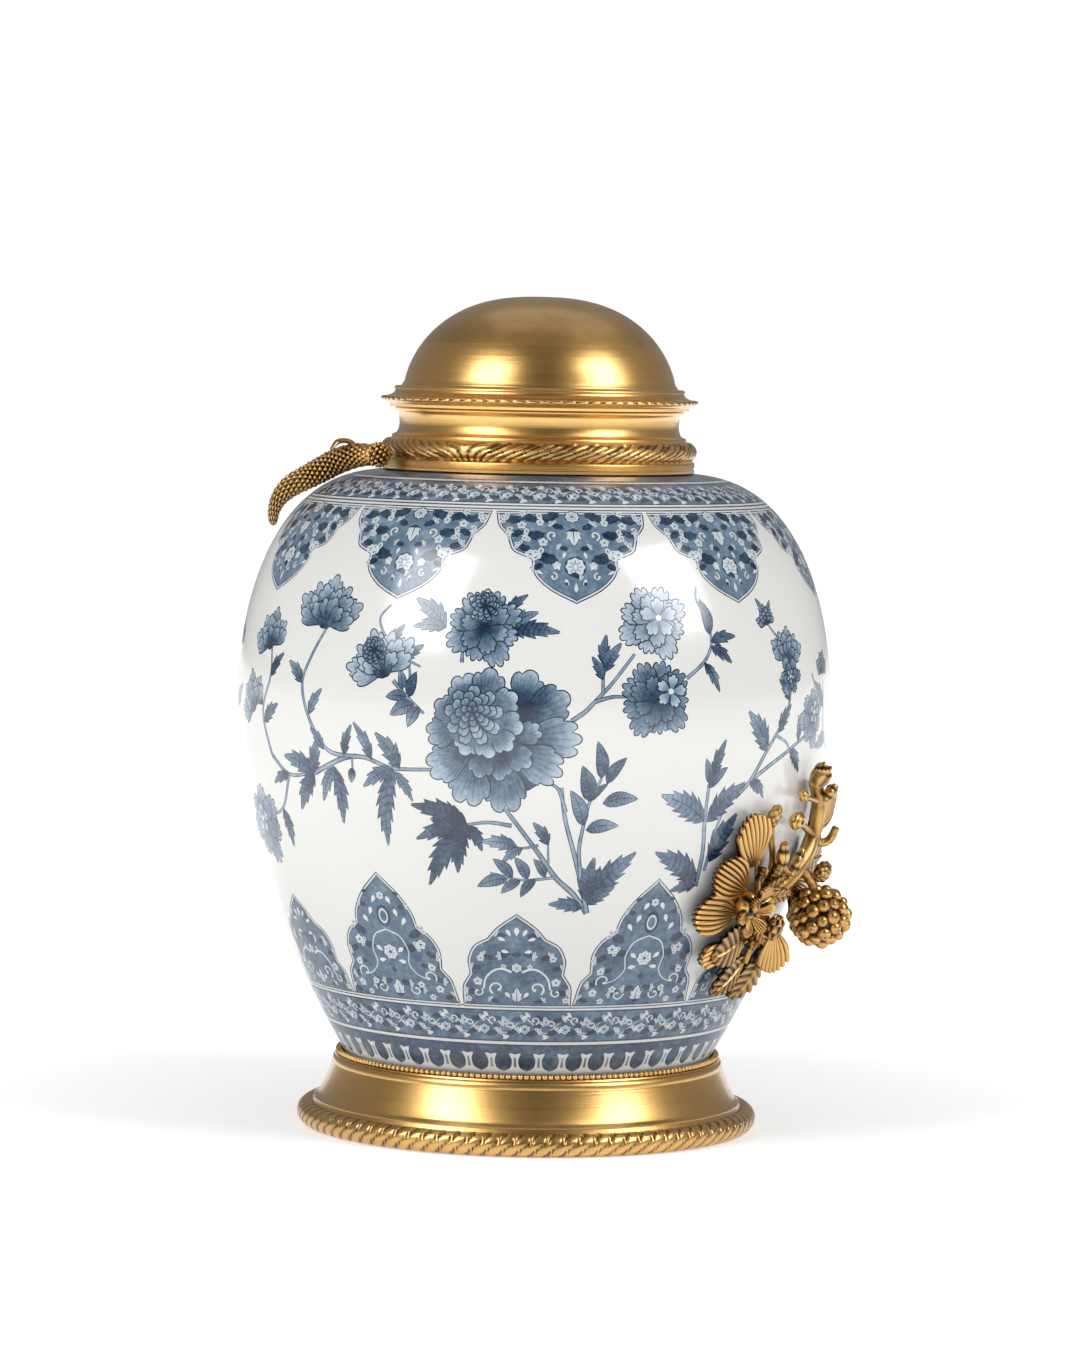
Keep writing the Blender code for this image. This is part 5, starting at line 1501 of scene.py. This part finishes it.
# azimuth, share of the way out to the belly, and height over the shoulder in garland thicknesses
GARLAND_ROUTE = (
    (-66, 0.120, 0.638), (-74, 0.222, 0.705), (-79, 0.330, 0.688), (-81, 0.429, 0.669), (-82, 0.529, 0.772),
    (-82, 0.644, 1.082), (-82, 0.729, 1.286), (-82, 0.770, 1.152), (-82, 0.775, 0.675),
)
# way out and rise of places along the leaf curl, as shares of its length and rise
GARLAND_CURL = ((0.0, 0.0), (0.30, 0.45), (0.75, 0.50), (1.05, 0.20))
GARLAND_STEP = 0.00038
CURL_STEP = 0.0005
GARLAND_ROWS = 31
GARLAND_COLUMNS = 13
COLLAR_FOOT_RADIUS = 0.0722
BOSS_RADIUS = 0.0050
BOSS_GRAINS = 64
GRAIN_RADIUS = 0.00095
CURL_LENGTH = 0.0135
CURL_RISE = 0.0125
CURL_HALF_GAP = 0.0026
CURL_THICKNESS = 0.0058


def garland_relief(turn, way):
    """Small pointed scales in staggered rows, smooth near the boss."""
    row = math.floor(way * GARLAND_ROWS)
    share = way * GARLAND_ROWS - row
    across = (turn * GARLAND_COLUMNS + 0.5 * (row % 2)) % 1.0 - 0.5
    width = 1.05 - 0.72 * share ** 1.5
    crest = np.sqrt(np.clip(1.0 - (2.0 * across / width) ** 2, 0.0, 1.0))
    crest = crest * (0.45 + 0.55 * math.sin(math.pi * share ** 0.7) ** 0.7)
    return 0.20 * (1.0 - crest) * min(1.0, 0.35 + 4.0 * way)


def curl_relief(turn, _):
    """Lengthwise grooves of the leaf curl."""
    return 0.12 * np.abs(np.sin(6 * math.pi * turn))


def build_garland():
    """The scaled garland: granulated boss, leaf curl and the horn-like run down to its tip."""
    stops = []
    for azimuth, way_out, lift in GARLAND_ROUTE:
        radius = COLLAR_FOOT_RADIUS + way_out * (BELLY_RADIUS - COLLAR_FOOT_RADIUS)
        swell = min(1.0, (radius - NECK_RADIUS) / (BELLY_RADIUS - NECK_RADIUS))
        rise = (1.0 - swell ** (1.0 / SHOULDER_ROUNDNESS)) ** (1.0 / SHOULDER_FLATNESS)
        height = BELLY_HEIGHT + (SHOULDER_HEIGHT - BELLY_HEIGHT) * rise
        stops.append(polar(azimuth, radius, height + lift * GARLAND_THICKNESS))
    path = fine_path(stops, GARLAND_STEP)
    way = np.linspace(0.0, 1.0, len(path))
    girth = 0.68 + 0.32 * np.sin(math.pi * np.minimum(1.0, way / 0.9) ** 0.8)
    girth *= 1.0 - 0.55 * np.maximum(0.0, (way - 0.7) / 0.3) ** 1.5
    girth *= np.sqrt(np.clip(1.0 - (np.maximum(0.0, way - 0.965) / 0.036) ** 2, 0.02, 1.0))
    forms = [swept_form(
        path, 0.5 * GARLAND_THICKNESS * girth, GARLAND_COLUMNS * 8, garland_relief,
        (GARLAND_FLATNESS, polar(8.0, 1.0, 0.0)), 5.0,
    )]
    boss = np.array(stops[0])
    ball = sphere_form(20, 12)
    # Painted shade: the boss, hidden among its grains, is painted dark, and each grain darker on the side
    # towards the boss.
    forms.append(Form(boss + ball.points * BOSS_RADIUS, ball.faces, np.full(len(ball.points), 0.9)))
    grain = sphere_form(8, 6)
    for out in spread_directions(BOSS_GRAINS):
        points = boss + out * (BOSS_RADIUS + 0.0001) + grain.points * GRAIN_RADIUS
        forms.append(Form(points, grain.faces, np.clip(-(grain.points @ out), 0.0, 1.0)))
    out = polar(-74.0, CURL_LENGTH, 0.0)
    root = path[int(0.17 * len(path))]
    for lean in (-CURL_HALF_GAP, CURL_HALF_GAP):
        sideways = np.array(polar(8.0, lean, 0.0))
        stops = []
        for reach, rise in GARLAND_CURL:
            lift = np.array((0.0, 0.0, CURL_RISE * rise))
            stops.append(root + sideways * (0.4 + 0.6 * reach) + out * reach * 0.95 + lift)
        curl_path = fine_path(stops, CURL_STEP)
        girth = np.interp(np.linspace(0, 1, len(curl_path)), (0, .3, .75, 1), (0.175, 0.225, 0.21, 0.06))
        forms.append(swept_form(
            curl_path, CURL_THICKNESS * girth, 14, curl_relief, (1.7, polar(8.0, 1.0, 0.0)), 6.0,
        ))
    make_piece("scaled_garland_cast", forms, CAST_GILT, ["scaled_garland"], 60.0)


# Fruiting vine mount

HUB_AZIMUTH = 54.0
HUB_HEIGHT = 0.1130
LEAF_THICKNESS = 0.0016
LEAF_CAMBER = 0.0030
LEAF_RIB = 0.0016
HUB = (0.0, 0.0, 5.8)
STEM_TOP = (27.2, 58.0, 6.0)
STEM_FORK = (36.8, 47.8, 6.0)
STEM_ELBOW = (37.1, 32.2, 6.2)
STEM_KNOT = (26.4, 17.8, 6.6)
BERRY_FORK = (31.8, 13.0, 11.5)
LOWER_FORK = (5.0, -13.9, 5.2)
BERRY_BALL = (34.8, -1.8, 20.0)
TWIG_STEP = 0.0007
LEAF_LENGTHENING = 1.12
LEAF_WIDENING = 1.24
BERRY_CORE = 12.2
BERRY_RADIUS = 3.25
BERRY_RING = 12.1
BERRY_COUNT = 58

# right and up of each leaf's root, its turn, length, width, lift and ribs, negative for a toothed leaf
FAN_LEAVES = (
    (-9.8, 20.6, -26.0, 23.0, 16.5, 3.0, 8), (-12.4, 9.4, -62.0, 21.5, 16.5, 3.4, 9),
    (-13.6, -2.4, -84.0, 23.0, 16.0, 3.0, 8), (-3.0, -13.2, -112.0, 20.0, 16.0, 4.0, -6),
    (-13.9, -17.6, -112.0, 13.5, 9.5, 2.6, 5), (4.8, -26.9, -128.0, 20.0, 12.5, 2.6, -6),
    (21.0, -23.5, 200.0, 23.0, 13.0, 3.0, -6), (19.0, -11.5, 166.0, 17.5, 14.0, 5.0, 8),
    (36.3, 34.4, 48.0, 22.0, 16.0, 4.0, 9), (29.8, 19.7, 88.0, 25.0, 18.0, 3.6, -6),
    (28.0, 9.2, 112.0, 26.0, 18.0, 3.6, 9),
)
# right and up of the root, turn, length and lift of each small leaf round the hub's flower and stems
SMALL_LEAVES = (
    (-9.0, 3.5, -60, 8.0, 11.0), (-8.0, 5.0, -5, 8.0, 10.5), (-7.5, 0.0, 60, 8.0, 10.5),
    (-9.5, -2.0, 130, 8.0, 10.5), (-11.5, -1.5, -160, 8.0, 10.5), (-13.5, 1.5, -110, 8.0, 10.5),
    (-2.0, 8.0, 40, 11.0, 8.0), (1.0, 13.0, -15, 10.0, 8.0), (3.0, 6.0, 75, 10.0, 9.0),
    (-1.0, -6.0, 150, 11.0, 8.0), (1.5, -9.0, 200, 10.0, 7.0), (-6.0, 14.0, -30, 8.5, 7.0),
)
# right, up and lift of each bud, its turn, tip, half width, half length and kind of relief
BUDS = (
    (26.5, 61.7, 8.5, 12.0, 20.0, 5.5, 7.0, "rose"), (32.5, 53.7, 12.2, 20.0, 20.0, 3.0, 5.0, "pod"),
    (14.2, 52.6, 7.5, 0.0, 0.0, 2.8, 2.8, "navel"), (11.0, 41.3, 8.0, 60.0, 0.0, 3.8, 4.8, "navel"),
    (-3.9, 43.6, 5.0, 0.0, 15.0, 3.6, 6.4, "net"), (2.0, 25.8, 10.0, -12.0, 0.0, 3.3, 7.8, "pod"),
    (16.6, 21.8, 9.8, 22.0, 0.0, 3.1, 7.6, "pod"), (36.8, 17.0, 15.0, 62.0, 0.0, 4.6, 6.6, "net"),
    (8.0, -7.4, 12.5, 0.0, 0.0, 4.6, 6.8, "scale"), (-13.1, 3.6, 9.0, 0.0, 0.0, 6.2, 6.6, "flower"),
    (1.1, 9.6, 7.0, 30.0, 0.0, 4.0, 6.6, "net"),
)
# places along each stem right, up and off the skin, and its radius at the first and at the last
TWIGS = (
    ((STEM_TOP, STEM_FORK, STEM_ELBOW, STEM_KNOT, HUB), 3.4, 5.0),
    ((STEM_FORK, (32.5, 53.7, 12.2)), 1.8, 1.5),
    ((STEM_FORK, (14.2, 52.6, 7.5)), 1.8, 1.4), ((STEM_ELBOW, (11.0, 41.3, 8.0)), 2.0, 1.6),
    ((HUB, (3.4, 20.0, 4.6), (-1.4, 32.0, 4.4), (-3.9, 42.4, 4.8)), 2.0, 1.5),
    ((STEM_KNOT, (11.0, 17.4, 9.0), (2.7, 22.8, 9.8)), 1.9, 1.6),
    ((STEM_KNOT, (18.6, 15.7, 8.4), (16.6, 20.7, 9.6)), 1.9, 1.6),
    ((STEM_ELBOW, (40.6, 28.8, 9.5), (42.8, 31.2, 13.0), (43.5, 37.2, 14.5)), 2.4, 2.0),
    ((STEM_KNOT, BERRY_FORK, (34.4, 5.0, 17.5)), 2.6, 2.4), ((BERRY_FORK, (35.2, 16.3, 14.2)), 1.8, 1.8),
    ((HUB, (12.3, -9.0, 7.0), (21.2, -14.2, 7.0)), 2.6, 2.2),
    ((HUB, LOWER_FORK, (6.7, -27.7, 4.6)), 2.4, 1.8),
    ((LOWER_FORK, (20.8, -25.5, 4.4)), 1.8, 1.6), ((LOWER_FORK, (-13.8, -21.9, 3.4)), 1.8, 1.4),
    ((HUB, (-8.5, 23.4, 4.2)), 2.2, 1.6), ((HUB, (-15.1, 10.4, 4.4)), 2.2, 1.6),
    ((HUB, (-16.7, -3.2, 4.2)), 2.2, 1.6),
)


def from_hub(right, up):
    """The azimuth and height of a place on the skin, from its millimetres right and up from the hub."""
    slope = np.gradient(SKIN_RADIUS, SKIN_HEIGHT)
    height = HUB_HEIGHT + up * MM / math.hypot(1.0, float(np.interp(HUB_HEIGHT, SKIN_HEIGHT, slope)))
    return HUB_AZIMUTH + math.degrees(right * MM / float(np.interp(height, SKIN_HEIGHT, SKIN_RADIUS))), height


def cast_leaf(root, turn, length, width, lift, ribs, tip=0.0, roll=0.0):
    """A ribbed fan leaf, or a toothed one with side veins, as a closed sheet over the skin."""
    heading = math.radians(turn)
    count = abs(ribs)
    columns = 8 * count + 1 if ribs > 0 else 41
    rows = 18 if ribs > 0 else 40
    share = np.linspace(0.0, 1.0, rows)[:, None]
    side = np.linspace(-1.0, 1.0, columns)[None, :]
    opening = np.sin(math.pi / 2 * np.minimum(1.0, 1.15 * share))
    spread = 0.22 + 0.78 * opening
    camber = LEAF_CAMBER * np.sin(math.pi * share * 0.6)
    if ribs > 0:
        phase = (side + 1.0) * count / 2.0 % 1.0 - 0.5
        crest = np.sqrt(np.clip(1.0 - (2.0 * phase) ** 2, 0.0, 1.0)) * np.ones_like(share)
        end = np.sqrt(np.clip(1.0 - (2.0 * phase) ** 2, 0.0, 1.0))
        across = 0.5 * width * side * spread
        reach = length * share * (1.0 - 0.30 * side * side + (0.15 * end - 0.09) * share)
        rib = LEAF_RIB * (0.55 + 0.45 * share) * crest
    else:
        tooth = share * (count + 0.5) % 1.0
        half = np.sin(math.pi * np.minimum(1.0, share * 0.93 + 0.05)) ** 0.7 * (0.74 + 0.30 * tooth)
        across = 0.5 * width * side * half
        reach = length * (share - 0.10 * np.abs(side) * (1.0 - share) * (1.0 - tooth))
        vein = np.abs((share * (count + 0.5) - 1.1 * np.abs(side)) % 1.0 - 0.5) * 2.0
        middle = np.exp(-(side / 0.09) ** 2)
        crest = np.clip(np.maximum(middle, 0.15 + 0.75 * (1.0 - vein) * (0.6 + 0.4 * np.abs(side))), 0.0, 1.0)
        rib = LEAF_RIB * crest * (1.0 - 0.3 * np.abs(side))
    right = across * math.cos(heading) + reach * math.sin(heading)
    up = reach * math.cos(heading) - across * math.sin(heading)
    rise = lift + camber + rib + tip * reach + roll * right * share
    top = over_skin(*root, right, up, rise + LEAF_THICKNESS)
    under = over_skin(*root, right, up, rise - rib)
    points = np.concatenate((top.reshape(-1, 3), under.reshape(-1, 3)))
    sheet = grid_faces(rows, columns, wrap_columns=False)
    size = rows * columns
    faces = sheet + [[corner + size for corner in face[::-1]] for face in sheet]
    rim = list(range(columns)) + [row * columns + columns - 1 for row in range(1, rows)]
    rim += [(rows - 1) * columns + column for column in range(columns - 2, -1, -1)]
    rim += [row * columns for row in range(rows - 2, 0, -1)]
    for start, end in zip(rim, rim[1:] + rim[:1]):
        faces.append([end, start, start + size, end + size])
    # Painted shade: darker between the ribs and veins and all over the underside.
    painted_shade = np.concatenate((0.95 * (1.0 - crest * np.ones_like(share)).ravel(), np.full(size, 0.9)))
    return Form(points, faces, painted_shade)


def cast_bud(right, up, lift, turn, tip, half_width, half_length, kind):
    """A bud, pod or berry with its relief."""
    sides, rings = 36, 26
    ball = sphere_form(sides, rings)
    x, y, z = ball.points.T
    turn_share = np.arctan2(y, x) / (2.0 * math.pi)
    way = np.arccos(np.clip(z, -1.0, 1.0)) / math.pi
    if kind == "net":
        one_way = np.sin(math.pi * (5.0 * turn_share + 4.5 * way))
        other_way = np.sin(math.pi * (5.0 * turn_share - 4.5 * way))
        sunk = 0.17 * (1.0 - np.abs(one_way * other_way) ** 0.6)
    elif kind == "scale":
        row = np.floor(way * 5.0)
        share = way * 5.0 - row
        across = (turn_share * 6.0 + 0.5 * (row % 2)) % 1.0 - 0.5
        sunk = 0.20 * np.clip((2.0 * np.abs(across)) ** 2 * 0.8 + 0.5 * (1.0 - share), 0.0, 1.0)
    elif kind == "pod":
        bulge = np.abs(np.sin(3.0 * math.pi * way))
        sunk = 0.24 * (1.0 - bulge ** 0.6) + 0.10 * (np.abs(np.sin(3.0 * math.pi * turn_share)) < 0.22)
    elif kind == "rose":
        spiral = (3.0 * turn_share + 4.0 * way) % 1.0
        heart = 0.30 * spiral ** 1.5 + 0.20 * (way < 0.12)
        sepals = 0.14 * np.abs(np.sin(5.0 * math.pi * turn_share)) * (way < 0.8)
        sunk = np.where(way < 0.45, heart, sepals)
    elif kind == "navel":
        sunk = 0.30 * np.exp(-(way / 0.09) ** 2) + 0.10 * np.exp(-((way - 0.30) / 0.05) ** 2)
    else:
        gaps = 0.34 * (1.0 - np.abs(np.cos(4.0 * math.pi * turn_share)) ** 0.5)
        sunk = gaps * np.sin(math.pi * np.minimum(1.0, 1.4 * way))
        sunk = sunk + 0.25 * np.exp(-((way - 0.16) / 0.05) ** 2)
    x, y, z = (ball.points * (1.0 - sunk)[:, None]).T
    if kind not in ("flower", "navel"):
        y, z = z, -y
    local = np.stack((x * half_width, y * half_length, z * half_width * 0.9), axis=1)
    here, axes = skin_axes(*from_hub(right, up), lift * MM, turn, tip)
    # Painted shade: darker in the bud's sunk relief.
    return Form(here + (local * MM) @ axes.T, ball.faces, np.clip(sunk * 5.0, 0.0, 1.0))


def bark(turn, way):
    """Knots and grooves along a stem."""
    knots = 0.06 * (1.0 - abs(math.sin(5.0 * math.pi * way)) ** 0.5)
    return 0.03 + 0.06 * np.abs(np.sin(4.0 * math.pi * (turn + 0.4 * way))) + knots


def build_vine_mount():
    """The cast spray: stems, ribbed leaves, buds and the head of berries."""
    forms = []
    for stops, first, last in TWIGS:
        points = []
        for right, up, lift in stops:
            points.append(over_skin(*from_hub(right, up), 0.0, 0.0, lift * MM))
        path = fine_path(points, TWIG_STEP)
        # Painted shade: the bark's grooves are painted darker.
        forms.append(swept_form(path, np.linspace(first, last, len(path)) * MM, 16, bark, shade_scale=4.0))
    for right, up, turn, length, width, lift, ribs in FAN_LEAVES:
        roll = 0.45 if right > 15.0 and up < -5.0 else 0.0
        size = (LEAF_LENGTHENING * length * MM, LEAF_WIDENING * width * MM)
        forms.append(cast_leaf(from_hub(right, up), turn, *size, (lift - 0.6) * MM, ribs, 0.0, roll))
    for right, up, turn, length, lift in SMALL_LEAVES:
        ribs = -4 if lift < 9.5 else 5
        size = (length * MM, 0.72 * length * MM)
        forms.append(cast_leaf(from_hub(right, up), turn, *size, (lift - 3.0) * MM, ribs, 0.16))
    for spec in BUDS:
        forms.append(cast_bud(*spec))
    right, up, lift = BERRY_BALL
    here, axes = skin_axes(*from_hub(right, up), lift * MM)
    core = sphere_form(24, 16)
    # Painted shade: the core among the berries is painted fully dark.
    forms.append(Form(here + core.points * BERRY_CORE * MM, core.faces, np.ones(len(core.points))))
    berry = sphere_form(16, 12)
    tilt = np.arccos(np.clip(berry.points[:, 2], -1.0, 1.0))
    dent = 0.16 * np.exp(-(tilt / 0.22) ** 2) + 0.10 * np.exp(-((tilt - 0.62) / 0.12) ** 2)
    grown = berry.points * (1.0 - dent)[:, None]
    # Painted shade: each berry is darker in its dents and on the side towards the core.
    shade = np.clip(6.0 * dent + 1.3 * np.clip((tilt - 1.1) / 1.2, 0.0, 1.0), 0.0, 1.0)
    for index, direction in enumerate(spread_directions(BERRY_COUNT)):
        out = Vector(direction)
        spin = np.array(out.to_track_quat("Z", "Y").to_matrix())
        size = BERRY_RADIUS * (1.0 - 0.08 * (index % 3)) * MM
        centre = here + axes @ np.array(out) * BERRY_RING * MM
        forms.append(Form(centre + (grown * size) @ spin.T @ axes.T, berry.faces, shade))
    make_piece("fruiting_vine_cast", forms, CAST_GILT, ["fruiting_vine_mount"], 50.0)


build_garland()
build_vine_mount()


# Stage, lights and camera

CAMERA_DISTANCE = 2.4
CAMERA_HEIGHT = 0.3679
CAMERA_SIDE = 0.0026
CAMERA_PITCH = 3.776
CAMERA_ROLL = 1.1
CAMERA_LENS = 138.19
SENSOR_HEIGHT = 36.0
FLOOR_HALF = 6.0
FLOOR_ROUGHNESS = 0.6
BACKDROP_STRENGTH = 1.05

# name, azimuth, elevation, distance, size and power of each light
LIGHTS = (
    ("softbox_left", -47.0, 31.0, 1.7, (0.78, 1.10), 19.0),
    ("softbox_right", 60.0, 34.0, 1.7, (0.76, 1.00), 17.0),
    ("top_light", 170.0, 70.0, 1.8, (1.6, 1.2), 3.2),
)


def add_softbox(name, azimuth, elevation, distance, size, power):
    """A large area light that looks at the jar's belly."""
    light = bpy.data.lights.new(name, "AREA")
    light.shape = "RECTANGLE"
    light.size, light.size_y = size
    light.energy = power
    lamp = bpy.data.objects.new(name, light)
    aim = Vector((0.0, 0.0, BELLY_HEIGHT))
    tilt = math.radians(elevation)
    place = Vector(polar(azimuth, distance * math.cos(tilt), distance * math.sin(tilt))) + aim
    lamp.location = place
    lamp.rotation_euler = (aim - place).to_track_quat("-Z", "Y").to_euler()
    bpy.context.scene.collection.objects.link(lamp)


def build_world():
    """White behind the object; light from all round for the rest, dim from behind the camera."""
    world = bpy.data.worlds.new("studio")
    bpy.context.scene.world = world
    world.use_nodes = True
    tree = world.node_tree
    output = tree.nodes["Background"]
    direction = add_node(tree, "TexCoord").outputs["Generated"]
    split = add_node(tree, "SeparateXYZ", {"Vector": direction})
    mirrored = ranged(tree, split.outputs["Y"], -0.95, 0.60, 0.04, 0.26, "SMOOTHSTEP")
    around = ranged(tree, split.outputs["Y"], -0.95, 0.20, 0.13, 0.25, "SMOOTHSTEP")
    path = add_node(tree, "LightPath")
    lit = add_node(tree, "Mix", {0: path.outputs["Is Diffuse Ray"], 2: mirrored, 3: around})
    seen = path.outputs["Is Camera Ray"]
    strength = add_node(tree, "Mix", {0: seen, 2: lit.outputs[0], 3: BACKDROP_STRENGTH})
    tree.links.new(strength.outputs[0], output.inputs["Strength"])
    output.inputs["Color"].default_value = (1.0, 1.0, 1.0, 1.0)


def build_stage():
    """The pale floor, which glows dimly near the jar and fully far from it, the softboxes and the camera."""
    mesh = bpy.data.meshes.new("floor")
    half = FLOOR_HALF
    corners = [(-half, -half, 0.0), (half, -half, 0.0), (half, half, 0.0), (-half, half, 0.0)]
    mesh.from_pydata(corners, [], [(0, 1, 2, 3)])
    material, tree, shader = node_tree("pale_floor")
    place = add_node(tree, "TexCoord").outputs["Object"]
    cloud = add_node(tree, "TexNoise", {"Vector": place, "Scale": 3.0})
    colour = add_ramp(tree, cloud.outputs["Fac"], ((0.0, (0.88, 0.88, 0.88)), (1.0, (0.90, 0.90, 0.90))))
    tree.links.new(colour, shader.inputs["Base Color"])
    shader.inputs["Roughness"].default_value = FLOOR_ROUGHNESS
    reach = add_node(tree, "VectorMath", {0: place}, operation="LENGTH")
    # Painted light: the floor glows, less near the jar and more farther out.
    floor_glow = ranged(tree, reach.outputs["Value"], 0.12, 0.70, 0.34, 1.0, "SMOOTHSTEP")
    shader.inputs["Emission Color"].default_value = (1.0, 1.0, 1.0, 1.0)
    tree.links.new(floor_glow, shader.inputs["Emission Strength"])
    mesh.materials.append(material)
    floor = bpy.data.objects.new("floor", mesh)
    bpy.context.scene.collection.objects.link(floor)
    for light in LIGHTS:
        add_softbox(*light)
    build_world()
    lens = bpy.data.cameras.new("camera")
    lens.sensor_fit = "VERTICAL"
    lens.sensor_height = SENSOR_HEIGHT
    lens.lens = CAMERA_LENS
    camera = bpy.data.objects.new("camera", lens)
    camera.location = (CAMERA_SIDE, -CAMERA_DISTANCE, CAMERA_HEIGHT)
    look = Matrix.Rotation(math.radians(90.0 - CAMERA_PITCH), 4, "X")
    roll = Matrix.Rotation(math.radians(CAMERA_ROLL), 4, "Z")
    camera.rotation_euler = (look @ roll).to_euler()
    bpy.context.scene.collection.objects.link(camera)
    bpy.context.scene.camera = camera
    bpy.context.scene.view_settings.view_transform = "Standard"


build_stage()
